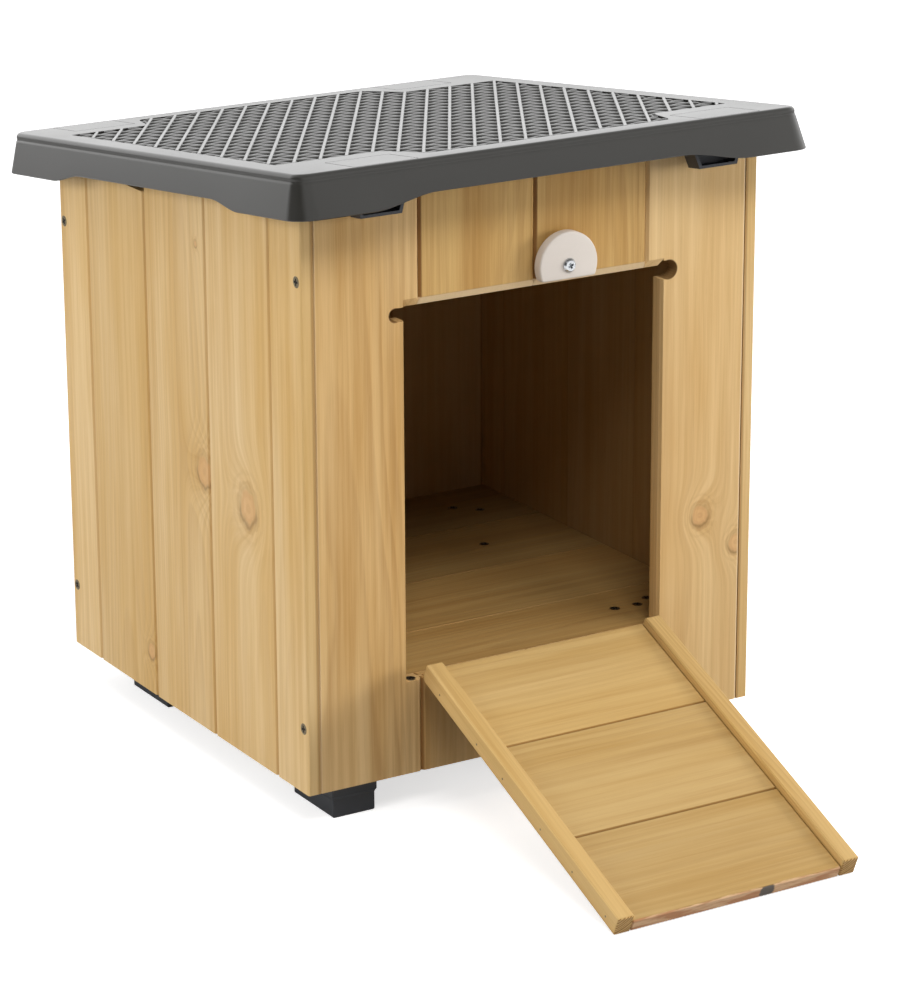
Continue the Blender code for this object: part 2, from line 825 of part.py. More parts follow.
def make_ramp_hinges(mats, ramp, post):
    """Butt hinges: one leaf on the sill boards, one under the ramp, and a pin."""
    steel = mats["zinc_steel"]
    middle = butt_width * butt_middle_share / 2
    half = butt_width / 2
    for side, sign in (("left", -1), ("right", 1)):
        x = sign * ramp_hinge_spread
        face = butt_knuckle - butt_sink
        back = face - butt_thickness
        leaf = rectangle(-butt_leaf, back, butt_root, face)
        moving = new_object(
            f"ramp_leaf_{side}", prism(leaf, x - half, x + half, along_x), steel, parent=ramp
        )
        leaf = rectangle(back, -butt_leaf, face, butt_root)
        fixed = new_object(
            f"sill_leaf_{side}", prism(leaf, x - half, x + half, along_x), steel, parent=post
        )
        spans = {"mid": (x - middle, x + middle)}
        spans["low"] = (x - half, x - middle)
        spans["top"] = (x + middle, x + half)
        for obj, frame, own in ((moving, ramp, ("mid",)), (fixed, post, ("low", "top"))):
            for tag, (x0, x1) in spans.items():
                if tag in own:
                    join(obj, knuckle_tool(f"{obj.name}_{tag}", x0, x1, frame))
            for tag, (x0, x1) in spans.items():
                if tag not in own:
                    room = circle((0, 0), butt_knuckle + seat, 20)
                    x0 -= joint_gap if tag != "low" else overrun
                    x1 += joint_gap if tag != "top" else overrun
                    bm = prism(room, x0, x1, along_x)
                    cut(obj, cutter(f"{obj.name}_{tag}_room", bm, frame))
            bore = circle((0, 0), butt_pin + pin_clearance / 2, 20)
            reach = half + overrun
            bm = prism(bore, x - reach, x + reach, along_x)
            cut(obj, cutter(f"{obj.name}_bore", bm, frame))
        bm = prism(circle((0, 0), butt_pin, 20), x - half, x + half, along_x)
        new_object(f"ramp_pin_{side}", bm, steel, parent=post, smooth=math.radians(40))


# Turn button over the doorway, on its screw and washer
def make_button(mats):
    centre = Vector((button_x, front_y, lintel + button_lift))
    hole = circle((centre.x, centre.z), screw_shank + pin_clearance, 20)
    back = front_y + end_board + overrun
    hole_tool = cutter("button_hole", prism(hole, front_y - overrun, back, along_y))
    rear = front_y - washer_thickness - 2 * seat
    front = rear - button_thickness
    half_turn = math.degrees(math.acos(button_flat / button_radius))
    outline = arc((centre.x, centre.z), button_radius, -90 + half_turn, 270 - half_turn, 44)
    bm = prism(outline, front, rear, along_y)
    origin = Vector((centre.x, front, centre.z))
    button = new_object(
        "turn_button", bm, mats["button_plastic"], origin, smooth=math.radians(30)
    )
    bevel(button, button_arris, 2)
    cut(button, hole_tool_for(centre, front, rear))
    make_washer(mats, centre)
    make_screw(mats, centre, front)
    return hole_tool


def hole_tool_for(centre, front, rear):
    bore = circle((centre.x, centre.z), screw_shank + pin_clearance, 20)
    return cutter("button_bore", prism(bore, front - overrun, rear + overrun, along_y))


def make_washer(mats, centre):
    rear = front_y - seat
    front = rear - washer_thickness
    bm = prism(circle((centre.x, centre.z), washer_radius, 28), front, rear, along_y)
    origin = Vector((centre.x, front, centre.z))
    washer = new_object("button_washer", bm, mats["zinc_steel"], origin, smooth=math.radians(40))
    bore = circle((centre.x, centre.z), screw_shank + pin_clearance, 20)
    cut(washer, cutter("washer_bore", prism(bore, front - overrun, rear + overrun, along_y)))


def make_screw(mats, centre, button_front):
    """Pan head with a cross slot; the shank turns a profile round the button's axis."""
    head_back = button_front - seat
    head_front = head_back - screw_head_height
    tip = front_y + screw_grip
    profile = [(0, tip), (screw_shank, tip - screw_shank), (screw_shank, head_back)]
    profile += [(screw_head, head_back), (screw_head, head_back - screw_head_height / 2)]
    profile += [(screw_head * math.cos(math.radians(35)), head_front), (0, head_front)]
    bm = bmesh.new()
    verts = [bm.verts.new((centre.x + r, y, centre.z)) for r, y in profile]
    edges = [bm.edges.new(pair) for pair in zip(verts, verts[1:])]
    bmesh.ops.spin(
        bm, geom=verts + edges, cent=centre, axis=(0, 1, 0), angle=math.tau, steps=24, use_merge=True
    )
    bmesh.ops.remove_doubles(bm, verts=bm.verts, dist=seat / 10)
    origin = Vector((centre.x, head_back, centre.z))
    screw = new_object("button_screw", bm, mats["zinc_steel"], origin, smooth=math.radians(35))
    for tag, a, b in (("x", screw_slot_length, screw_slot_width), ("z", screw_slot_width, screw_slot_length)):
        outline = rectangle(centre.x - a / 2, centre.z - b / 2, centre.x + a / 2, centre.z + b / 2)
        bm = prism(outline, head_front - overrun, head_front + screw_slot_depth, along_y)
        cut(screw, cutter(f"slot_cutter_{tag}", bm))


def clear_scene():
    for obj in list(bpy.data.objects):
        bpy.data.objects.remove(obj, do_unlink=True)


def main():
    clear_scene()
    mats = make_materials()
    doorway = doorway_cutter()
    button_hole = make_button(mats)
    make_side_walls(mats)
    make_front_wall(mats, doorway, button_hole)
    make_rear_wall(mats)
    make_floor(mats)
    make_rails(mats)
    make_feet(mats)
    lid_frame = empty("lid_axis", (0, front_y + lid_axis_y, lid_axis_z), -lid_pitch)
    make_lid(mats, lid_frame)
    make_catches(mats, lid_frame)
    make_lid_hinges(mats, lid_frame)
    ramp_place = (0, front_y + ramp_axis_y, ramp_axis_z)
    ramp_frame = empty("ramp_axis", ramp_place, ramp_angle)
    sill_post = empty("sill_hinge_axis", ramp_place, 0)
    make_ramp(mats, ramp_frame)
    make_ramp_hinges(mats, ramp_frame, sill_post)


main()
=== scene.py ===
"""Outdoor dog kennel: honey-stained pine boards, a moulded lid with a woven pattern, a
ramp, a turn button, screws and nails, with its studio light, floor and camera."""
import json
import math
import random

import bmesh
import bpy
from mathutils import Matrix, Vector


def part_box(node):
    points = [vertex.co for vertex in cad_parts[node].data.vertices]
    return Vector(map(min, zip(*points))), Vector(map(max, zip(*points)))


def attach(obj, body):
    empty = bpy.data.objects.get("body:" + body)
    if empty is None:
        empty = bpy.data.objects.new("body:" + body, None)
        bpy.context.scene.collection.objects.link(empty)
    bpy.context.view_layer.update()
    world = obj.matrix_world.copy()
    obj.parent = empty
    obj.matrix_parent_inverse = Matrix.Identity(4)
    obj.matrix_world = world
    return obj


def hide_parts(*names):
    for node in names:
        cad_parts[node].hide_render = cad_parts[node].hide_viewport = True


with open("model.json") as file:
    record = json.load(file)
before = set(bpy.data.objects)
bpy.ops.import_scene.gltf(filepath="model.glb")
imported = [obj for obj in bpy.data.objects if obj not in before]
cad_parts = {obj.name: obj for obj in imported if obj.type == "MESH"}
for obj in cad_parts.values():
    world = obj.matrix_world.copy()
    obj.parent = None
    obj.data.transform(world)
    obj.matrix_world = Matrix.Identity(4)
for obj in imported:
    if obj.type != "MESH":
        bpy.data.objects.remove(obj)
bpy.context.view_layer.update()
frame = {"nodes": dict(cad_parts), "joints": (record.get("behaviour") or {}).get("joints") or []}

mm = 0.001
nodes = frame["nodes"]
joints = {joint["name"]: joint for joint in frame["joints"]}

# Places on the house
front_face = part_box("front_wall_board_left")[0].y
rear_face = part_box("rear_wall_board_1")[1].y
side_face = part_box("right_wall_board_1")[1].x
wall_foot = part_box("front_wall_board_left")[0].z
floor_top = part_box("floor_board_2")[1].z

# The lid's own frame: x across, y up the slope from front to rear, z square to the panel
lid_pitch = math.radians(7.0)
lid_axis = Vector(joints["lid_hinge"]["pos_m"])
lid_place = Matrix.Translation(lid_axis) @ Matrix.Rotation(-lid_pitch, 4, "X")
lid_width = 435.4 * mm
lid_length = 480.8 * mm
lid_top = 26.95 * mm
lid_front = -450.04 * mm
lid_middle = lid_front + lid_length / 2

# The ramp's own frame: x across, y from the tip to the hinge, z square to its boards
ramp_axis = Vector(joints["ramp_hinge"]["pos_m"])
ramp_angle = math.radians(joints["ramp_hinge"]["range_deg"][1] - 90)
ramp_place = Matrix.Translation(ramp_axis) @ Matrix.Rotation(ramp_angle, 4, "X")


# Node trees. Most calls find their tree by the sockets that they are given
def feed(socket, value):
    """Links a socket to another one, or gives it a plain value."""
    if isinstance(value, bpy.types.NodeSocket):
        socket.id_data.links.new(value, socket)
    else:
        socket.default_value = value


def node(tree, kind, *values, **settings):
    """A shader node with its settings, its inputs fed in order; None leaves one alone."""
    made = tree.nodes.new("ShaderNode" + kind)
    for key, value in settings.items():
        setattr(made, key, value)
    for socket, value in zip(made.inputs, values):
        if value is not None:
            feed(socket, value)
    return made


def tree_of(values):
    """The node tree of the first socket among the values."""
    return next(value.id_data for value in values if isinstance(value, bpy.types.NodeSocket))


def calc(operation, *values):
    """Output of a Math node."""
    return node(tree_of(values), "Math", *values, operation=operation).outputs[0]


def times(*values):
    """The product of two values."""
    return calc("MULTIPLY", *values)


def times_plus(*values):
    """The product of two values, plus a third one."""
    return calc("MULTIPLY_ADD", *values)


def vector(operation, *values):
    """Output of a Vector Math node; for a length that is its second one."""
    made = node(tree_of(values), "VectorMath", *values, operation=operation)
    return made.outputs[1 if operation == "LENGTH" else 0]


def split(place):
    """The three parts of a place."""
    return node(place.id_data, "SeparateXYZ", place).outputs


def mapped(value, low, high, to_low=0.0, to_high=1.0):
    """Smooth step of a value between two limits."""
    made = node(value.id_data, "MapRange", value, low, high, to_low, to_high)
    made.interpolation_type = "SMOOTHSTEP"
    return made.outputs[0]


def blended(share, first, second):
    """Colour that goes from the first to the second by a share."""
    tree = tree_of((share, first, second))
    made = node(tree, "Mix", data_type="RGBA", clamp_factor=True)
    for i, value in ((0, share), (6, first), (7, second)):
        feed(made.inputs[i], value)
    return made.outputs[2]


def noise(place, waves, detail=2.0, rough=0.5, output=0):
    """Noise with its own number of waves per metre on each axis."""
    scaled = vector("MULTIPLY", place, waves)
    return node(place.id_data, "TexNoise", scaled, None, 1.0, detail, rough).outputs[output]


def sideways(place, waves, reach):
    """A shift that noise gives to a place, up to half the reach either way."""
    shift = vector("SUBTRACT", noise(place, waves, output=1), (0.5, 0.5, 0.5))
    return vector("MULTIPLY", shift, reach)


def new_group(name, inputs, outputs):
    """A shader node group with named sockets; values of inputs are their defaults."""
    group = bpy.data.node_groups.new(name, "ShaderNodeTree")
    for label, value in inputs.items():
        kind = "NodeSocketFloat"
        if isinstance(value, tuple):
            kind = "NodeSocketVector" if len(value) == 3 else "NodeSocketColor"
        socket = group.interface.new_socket(label, in_out="INPUT", socket_type=kind)
        socket.default_value = value
    for label, kind in outputs.items():
        group.interface.new_socket(label, in_out="OUTPUT", socket_type="NodeSocket" + kind)
    start = group.nodes.new("NodeGroupInput").outputs
    end = group.nodes.new("NodeGroupOutput").inputs
    return group, start, end


def use_group(tree, group, **values):
    """Places a node group with its own values; returns its outputs."""
    made = tree.nodes.new("ShaderNodeGroup")
    made.node_tree = group
    for label, value in values.items():
        feed(made.inputs[label.replace("_", " ")], value)
    return made.outputs


def rgb(red, green, blue):
    """Linear colour of an sRGB one given in 0 to 255."""

    def line(value):
        value /= 255
        return value / 12.92 if value <= 0.04045 else ((value + 0.055) / 1.055) ** 2.4

    return (line(red), line(green), line(blue), 1.0)


def tinted(colour, factor):
    """A colour made lighter or darker."""
    return (colour[0] * factor, colour[1] * factor, colour[2] * factor, 1.0)


# Knots and sawn edges: waves per metre across a board, into it and along it
knot_waves = (150.0, 150.0, 100.0)
torn_waves = (500.0, 500.0, 120.0)
sawn_waves = (260.0, 260.0, 45.0)


def make_knot_group():
    """A knot on a board's face: its heart, its dark rim, its rings and how it bends the grain."""
    tree, start, end = new_group(
        "Pine knot",
        {"Place": (0.0, 0.0, 0.0), "Centre": (0.0, 0.0, 0.0), "Radius": 0.006, "Tilt": 1.15},
        {"Heart": "Float", "Rim": "Float", "Rings": "Float", "Bend": "Float"},
    )
    parts = split(vector("SUBTRACT", start["Place"], start["Centre"]))
    wobble = noise(start["Place"], knot_waves, 3.0)
    along = calc("DIVIDE", parts[2], start["Tilt"])
    flat = node(tree, "CombineXYZ", parts[0], 0.0, along).outputs[0]
    ratio = calc("DIVIDE", vector("LENGTH", flat), start["Radius"])
    shaken = times_plus(calc("SUBTRACT", wobble, 0.5), 0.6, ratio)
    feed(end["Heart"], mapped(shaken, 1.0, 0.75))
    under = mapped(parts[2], 4 * mm, -6 * mm, 0.35, 1.0)
    ring = times(mapped(shaken, 0.74, 1.0), mapped(shaken, 1.28, 1.0))
    feed(end["Rim"], times(ring, under))
    waves = calc("SINE", times(shaken, 11.0))
    fade = mapped(shaken, 2.4, 0.9)
    feed(end["Rings"], times(mapped(waves, -0.4, 1.0), fade))
    fall = times(calc("POWER", ratio, 2.0), -0.22)
    bend = times(calc("EXPONENT", fall), start["Radius"])
    feed(end["Bend"], times(bend, 1.2))
    return tree


# Pine: waves per metre of each kind of mark, across a board, into it and along it
wander_waves = (6.0, 6.0, 1.3)
bow_waves = (38.0, 38.0, 7.0)
ring_waves = (14.0, 14.0, 2.2)
patch_waves = (15.0, 15.0, 2.6)
broad_waves = (60.0, 60.0, 2.2)
streak_waves = (230.0, 230.0, 4.2)
fibre_waves = (1300.0, 1300.0, 26.0)
fleck_waves = (1100.0, 1100.0, 70.0)
# How far the grain wanders and bows sideways, and how little a ring tapers along a board
wander_reach = (55 * mm, 55 * mm, 0.0)
bow_reach = (3 * mm, 3 * mm, 0.0)
ring_taper = (1.0, 1.0, 0.012)
# How deep below a board's end the end grain starts and is full, and how uneven a seam is
end_grain_start, end_grain_full = -0.9 * mm, -0.4 * mm
seam_wobble = 1 * mm


def make_figure_group():
    """Flat-sawn pine: growth rings cut by the face, streaks, fibres and resin flecks.
    Place is x across the board, y into it and z along it; Half is its half width and
    Long its half length, where the end grain shows."""
    tree, start, end = new_group(
        "Pine figure",
        {
            "Place": (0.0, 0.0, 0.0),
            "Pith": (0.0, 0.05, 0.0),
            "Seed": (0.0, 0.0, 0.0),
            "Bend": 0.0,
            "Ring": 0.0032,
            "Half": 1.0,
            "Long": 1.0,
            "Seam": 0.3,
            "Groove": 0.0026,
            "Rings": 0.4,
            "Streaks": 0.4,
            "Pale": (0.6, 0.4, 0.18, 1.0),
            "Golden": (0.5, 0.3, 0.10, 1.0),
            "Brown": (0.35, 0.18, 0.05, 1.0),
        },
        {"Color": "Color", "Roughness": "Float", "Height": "Float"},
    )
    seeded = vector("ADD", start["Place"], start["Seed"])
    drift = sideways(seeded, wander_waves, wander_reach)
    bow = sideways(seeded, bow_waves, bow_reach)
    moved = vector("ADD", vector("ADD", start["Place"], drift), bow)
    moved = vector("MULTIPLY", vector("SUBTRACT", moved, start["Pith"]), ring_taper)
    radius = calc("ADD", vector("LENGTH", moved), start["Bend"])
    turns = calc("DIVIDE", radius, start["Ring"])
    uneven = noise(node(tree, "CombineXYZ", turns, 0.0, 0.0).outputs[0], (0.5, 1.0, 1.0))
    turns = times_plus(uneven, 1.6, turns)
    part = calc("FRACT", turns)
    late = times(mapped(part, 0.15, 0.90), mapped(part, 1.0, 0.86))
    weight = mapped(noise(seeded, ring_waves), 0.34, 0.68)
    parts = split(start["Place"])
    cut = calc("SUBTRACT", calc("ABSOLUTE", parts[2]), start["Long"])
    cut = mapped(cut, end_grain_start, end_grain_full)
    weight = calc("MAXIMUM", times_plus(weight, 0.85, 0.15), cut)
    late = times(late, weight)
    bent = node(tree, "CombineXYZ", times(start["Bend"], 2.5)).outputs[0]
    bent = vector("ADD", vector("ADD", seeded, bent), bow)
    streak = mapped(noise(bent, streak_waves, 4.0, 0.65), 0.36, 0.66)
    broad = mapped(noise(bent, broad_waves, 3.0), 0.40, 0.72)
    fibre = noise(seeded, fibre_waves)
    patch = noise(seeded, patch_waves, 3.0)
    fleck = mapped(noise(seeded, fleck_waves, 1.0), 0.72, 0.80)
    share = times(late, times_plus(cut, 0.75, start["Rings"]))
    lines = times_plus(streak, 0.50, times(broad, 0.45))
    lines = times_plus(mapped(fibre, 0.35, 0.70), 0.16, lines)
    share = times_plus(lines, start["Streaks"], share)
    share = times_plus(fleck, 0.10, share)
    tone = times(mapped(patch, 0.30, 0.72), 0.70)
    tone = times_plus(broad, 0.27, tone)
    tone = times_plus(streak, 0.20, tone)
    ground = blended(tone, start["Pale"], start["Golden"])
    rim = calc("SUBTRACT", start["Half"], calc("ABSOLUTE", parts[0]))
    rim = times_plus(calc("SUBTRACT", patch, 0.5), seam_wobble, rim)
    stained = mapped(calc("DIVIDE", rim, start["Groove"]), 1.0, 0.4)
    colour = blended(share, ground, start["Brown"])
    stained = times(stained, start["Seam"])
    feed(end["Color"], blended(stained, colour, start["Brown"]))
    rough = times_plus(fibre, 0.22, 0.44)
    feed(end["Roughness"], times_plus(late, -0.06, rough))
    height = times_plus(late, 0.45, times(fibre, 0.6))
    feed(end["Height"], times_plus(streak, 0.3, height))
    return tree


# Plastic and zinc: waves per metre of their marks, along x, y and z
spark_waves = (2600.0, 2600.0, 2600.0)
flow_waves = (9.0, 9.0, 14.0)
dust_waves = (420.0, 420.0, 420.0)
spangle_waves = (700.0, 700.0, 700.0)
rubbing_waves = (300.0, 2400.0, 2400.0)


def make_moulding_group():
    """Moulded plastic: a fine spark-eroded grain, faint flow marks and a little dust."""
    tree, start, end = new_group(
        "Moulded surface",
        {"Place": (0.0, 0.0, 0.0), "Colour": (0.1, 0.1, 0.1, 1.0), "Gloss": 0.4, "Grain": 1.0},
        {"Color": "Color", "Roughness": "Float", "Height": "Float"},
    )
    place = start["Place"]
    fine = noise(place, spark_waves)
    flow = noise(place, flow_waves, 4.0)
    dust = mapped(noise(place, dust_waves, 3.0), 0.60, 0.78)
    pale = vector("SCALE", start["Colour"], None, None, 1.35)
    soft = times(mapped(flow, 0.3, 0.75), 0.35)
    soft = times_plus(dust, 0.10, soft)
    feed(end["Color"], blended(soft, start["Colour"], pale))
    rough = times_plus(flow, 0.10, start["Gloss"])
    feed(end["Roughness"], times_plus(dust, 0.06, rough))
    feed(end["Height"], times(fine, start["Grain"]))
    return tree


def make_zinc_group():
    """Bright zinc plate: faint spangle and fine rubbing marks."""
    tree, start, end = new_group(
        "Zinc plate",
        {"Place": (0.0, 0.0, 0.0), "Colour": (0.6, 0.6, 0.6, 1.0), "Gloss": 0.3},
        {"Color": "Color", "Roughness": "Float", "Height": "Float"},
    )
    spangle = noise(start["Place"], spangle_waves, 3.0)
    rubbed = noise(start["Place"], rubbing_waves)
    dull = vector("SCALE", start["Colour"], None, None, 0.72)
    share = mapped(spangle, 0.40, 0.66)
    feed(end["Color"], blended(share, start["Colour"], dull))
    feed(end["Roughness"], times_plus(rubbed, 0.22, start["Gloss"]))
    feed(end["Height"], rubbed)
    return tree


knot_group = make_knot_group()
figure_group = make_figure_group()
moulding_group = make_moulding_group()
zinc_group = make_zinc_group()


# Materials
def new_material(name):
    """An empty material, its tree and its shader."""
    made = bpy.data.materials.new(name)
    made.use_nodes = True
    return made, made.node_tree, made.node_tree.nodes["Principled BSDF"]


def finish_material(shader, surface, depth):
    """Feeds colour, roughness and a bump from a surface group's outputs."""
    feed(shader.inputs["Base Color"], surface["Color"])
    feed(shader.inputs["Roughness"], surface["Roughness"])
    bump = node(shader.id_data, "Bump", 0.5, depth)
    feed(bump.inputs["Height"], surface["Height"])
    feed(shader.inputs["Normal"], bump.outputs[0])


def plain_material(name, group, colour, depth, metallic=0.0, **values):
    """Plastic or zinc in one colour; depth is that of its bump."""
    made, tree, shader = new_material(name)
    place = node(tree, "TexCoord").outputs["Object"]
    surface = use_group(tree, group, Place=place, Colour=colour, **values)
    shader.inputs["Metallic"].default_value = metallic
    finish_material(shader, surface, depth)
    return made


# Directions of a board as rows: across its face, into it, and along its grain
upright_front = ((1, 0, 0), (0, 1, 0), (0, 0, 1))
upright_side = ((0, 1, 0), (-1, 0, 0), (0, 0, 1))
lying_across = ((0, 1, 0), (0, 0, 1), (1, 0, 0))
lying_along = ((0, 0, 1), (1, 0, 0), (0, 1, 0))

# Pine tones: pale, golden and brown
honey = (rgb(228, 199, 150), rgb(213, 174, 108), rgb(160, 114, 58))
amber = (rgb(222, 190, 138), rgb(202, 160, 98), rgb(142, 98, 46))
# The lintel's tones, painted darker as the shade under the lid's overhang
lintel_pine_in_painted_shade = (rgb(204, 168, 108), rgb(186, 144, 80), rgb(130, 86, 38))
ramp_tone = (rgb(218, 184, 124), rgb(206, 166, 98), rgb(150, 106, 48))
cabin_tone = (rgb(200, 164, 104), rgb(184, 142, 82), rgb(132, 90, 44))
knot_heart = rgb(212, 164, 112)
# Pale wood for the lintel's bare arris and its painted highlight, and for painted light at the
# front corners
pale_wood_and_painted_light = rgb(240, 214, 172)
sawn_pale, sawn_brown = rgb(216, 178, 138), rgb(184, 132, 92)
grey_knot = rgb(92, 84, 76)


def with_knot(colour, heart, brown):
    """Rings, heart and dark rim of one knot over a board's colour."""
    colour = blended(times(heart["Rings"], 0.30), colour, brown)
    colour = blended(times(heart["Heart"], 0.55), colour, knot_heart)
    rim = times(heart["Rim"], 0.60)
    return blended(rim, colour, tinted(brown, 0.62))


def with_painted_cabin_shade(colour, place, inner, brown):
    """The face towards the cabin, painted darker as shade; inner is the way to it."""
    inside = mapped(times(split(place)[1], inner), 2 * mm, 4 * mm)
    return blended(times(inside, 0.55), colour, tinted(brown, 0.7))


def with_pale_arris_and_painted_light(colour, place, axis, edge, way, share):
    """Pale wood past an edge on one axis, on its side in the given way: bare wood with a painted
    highlight at the lintel, painted light against the joint's shade at the front corners.
    """
    pale_band = mapped(split(place)[axis], edge - way * 0.5 * mm, edge + way * 0.5 * mm)
    return blended(times(pale_band, share), colour, pale_wood_and_painted_light)


def with_painted_notch_shade(colour, place, across, along, radius, brown):
    """The wall of a round cut through the board, painted dark as shade."""
    away = vector("SUBTRACT", place, (across, 0.0, along))
    away = vector("LENGTH", vector("MULTIPLY", away, (1.0, 0.0, 1.0)))
    dark = mapped(away, radius + 0.6 * mm, radius + 0.2 * mm)
    return blended(times(dark, 0.8), colour, tinted(brown, 0.55))


def pine_material(name, rows, centre, seed, tones, rings, streaks, knots=(), turn=None,
                  half=1.0, pith=None, long=1.0, seam=0.3, ring=None, groove=2.6, inner=0,
                  pale_arris=None, notch=None):
    """Pine for one board. Knots are (across, along, radius) in millimetres from the
    board's centre; groove is in millimetres too. Inner (painted shade), the pale arris
    (bare wood and painted light) and notch (painted shade) are what the functions above
    say of them, or nothing."""
    made, tree, shader = new_material(name)
    draw = random.Random(seed)
    turned = Matrix(rows)
    if turn is not None:
        turned = turned @ turn.to_3x3().inverted()
    placing = node(tree, "Mapping", node(tree, "TexCoord").outputs["Object"])
    placing.inputs["Location"].default_value = -(turned @ Vector(centre))
    placing.inputs["Rotation"].default_value = turned.to_euler("XYZ")
    place = placing.outputs[0]
    tint = draw.uniform(0.95, 1.04)
    pale, golden, brown = (tinted(tone, tint) for tone in tones)
    values = {
        "Place": place, "Pale": pale, "Golden": golden, "Brown": brown,
        "Rings": rings, "Streaks": streaks, "Half": half, "Long": long,
        "Seam": seam, "Groove": groove * mm,
        "Seed": (draw.uniform(1, 9), draw.uniform(1, 9), draw.uniform(1, 9)),
        "Pith": pith or (draw.uniform(-35, 35) * mm, draw.uniform(35, 80) * mm, 0.0),
        "Ring": ring or draw.uniform(3.0, 4.4) * mm,
    }
    hearts = []
    for across, along, radius in knots:
        spot = (across * mm, 0.0, along * mm)
        hearts.append(use_group(tree, knot_group, Place=place, Centre=spot, Radius=radius * mm))
    if hearts:
        bend = hearts[0]["Bend"]
        for heart in hearts[1:]:
            bend = calc("ADD", bend, heart["Bend"])
        values["Bend"] = bend
    figure = use_group(tree, figure_group, **values)
    colour = figure["Color"]
    for heart in hearts:
        colour = with_knot(colour, heart, brown)
    # Painted shade on the face towards the cabin
    if inner:
        colour = with_painted_cabin_shade(colour, place, inner, brown)
    # Pale arris: bare wood with a painted highlight at the lintel, painted light at the front
    # corners
    if pale_arris:
        colour = with_pale_arris_and_painted_light(colour, place, *pale_arris)
    # Painted shade on the notch's wall
    if notch:
        colour = with_painted_notch_shade(colour, place, *notch, brown)
    finish_material(shader, figure, 0.35 * mm)
    feed(shader.inputs["Base Color"], colour)
    shader.inputs["Specular IOR Level"].default_value = 0.35
    return made


def rough_edge(material, half, knots):
    """The sawn lower edge of a board, pinkish brown and torn, with grey knots as (along,
    radius) in millimetres."""
    tree = material.node_tree
    shader = tree.nodes["Principled BSDF"]
    place = next(n for n in tree.nodes if n.type == "MAPPING").outputs[0]
    torn = noise(place, torn_waves, 3.0)
    across = times(split(place)[0], -1.0)
    edge = times_plus(torn, 2.2 * mm, across)
    edge = mapped(edge, half - 0.2 * mm, half + 0.8 * mm)
    spread = noise(place, sawn_waves, 4.0)
    sawn = blended(mapped(spread, 0.38, 0.62), sawn_pale, sawn_brown)
    for along, radius in knots:
        from_knot = vector("SUBTRACT", place, (-half, 0.0, along * mm))
        away = times_plus(torn, 3 * mm, vector("LENGTH", from_knot))
        core = mapped(away, (radius + 2.2) * mm, (radius + 0.6) * mm)
        sawn = blended(core, sawn, grey_knot)
    colour = shader.inputs["Base Color"].links[0].from_socket
    feed(shader.inputs["Base Color"], blended(edge, colour, sawn))


def dress(name, material):
    """Gives a CAD node its material."""
    mesh = nodes[name].data
    mesh.materials.clear()
    mesh.materials.append(material)


def middle(name):
    """Middle of a CAD node's box."""
    low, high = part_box(name)
    return (low + high) / 2


def board_half(name, axis):
    """Half a board's width on one axis."""
    low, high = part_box(name)
    return (high[axis] - low[axis]) / 2


def ramp_span(name):
    """A ramp piece's middle, and half its length down the slope."""
    flat = ramp_place.inverted()
    points = [flat @ v.co for v in nodes[name].data.vertices]
    low = Vector([min(p[i] for p in points) for i in range(3)])
    high = Vector([max(p[i] for p in points) for i in range(3)])
    return ramp_place @ ((low + high) / 2), (high.y - low.y) / 2


# Knots: board name to (across, along, radius) in millimetres from the board's middle
knots_of = {
    "left_wall_board_2": ((-13.5, -21.6, 13.0),),
    "left_wall_board_3": ((-43, -6, 11.0), (-38, 172, 2.6)),
    "left_wall_board_4": ((-44, -171, 6.0),),
    "right_wall_board_3": ((-22, 176, 8.0),),
    "right_wall_board_2": ((12, -172, 6.0),),
    "front_wall_board_right": ((7.7, -77, 8.0), (42, -105, 7.0)),
    "rear_wall_board_2": ((20, 70, 8.0),),
    "rear_wall_board_3": ((-16, -90, 7.0), (26, 118, 3.2)),
}
# Boards painted lighter or darker than their neighbours: the front wall's left board lighter as
# painted light, the floor boards darker towards the rear as painted shade
lighter = {
    "front_wall_board_left": 1.10,
    "floor_board_2": 0.95,
    "floor_board_3": 0.84,
    "floor_board_4": 0.72,
}
# The doorway's round-ended notches: board name to the place and radius of the end, whose wall is
# painted dark as shade
notches = {
    "front_wall_board_left": (-121.75 * mm, 393.35 * mm, 5.25 * mm),
    "front_wall_board_right": (119.5 * mm, 394.8 * mm, 7.5 * mm),
}
# Strength of the growth rings and of the streaks, where it isn't the usual
figure_of = {
    "front_wall_board_left": (0.20, 0.30),
    "front_wall_board_right": (0.17, 0.20),
    "lintel_board_left": (0.18, 0.36),
    "lintel_board_right": (0.20, 0.36),
}
# Usual strength of the growth rings and of the streaks, of walls and floor and of the ramp
board_figure = (0.16, 0.23)
ramp_figure = (0.16, 0.22)
rail_figure = (0.50, 0.24)
# How dark the seams are: between front or rear boards, side or floor boards, ramp boards
front_seam, side_seam, ramp_seam = 0.85, 0.30, 0.80
# The pale arris above the lintel's lower edge, bare wood with a painted highlight, and the painted
# light at the house's two front corners that lifts the shade in their joints
lintel_arris, lintel_pale_share = 5.6 * mm, 0.8
corner_arris, left_corner_light, right_corner_light = 1.6 * mm, 0.30, 0.80
# First seeds of the boards and battens, of the ramp's boards and of its rails
board_seed, ramp_seed, rail_seed = 11, 71, 81


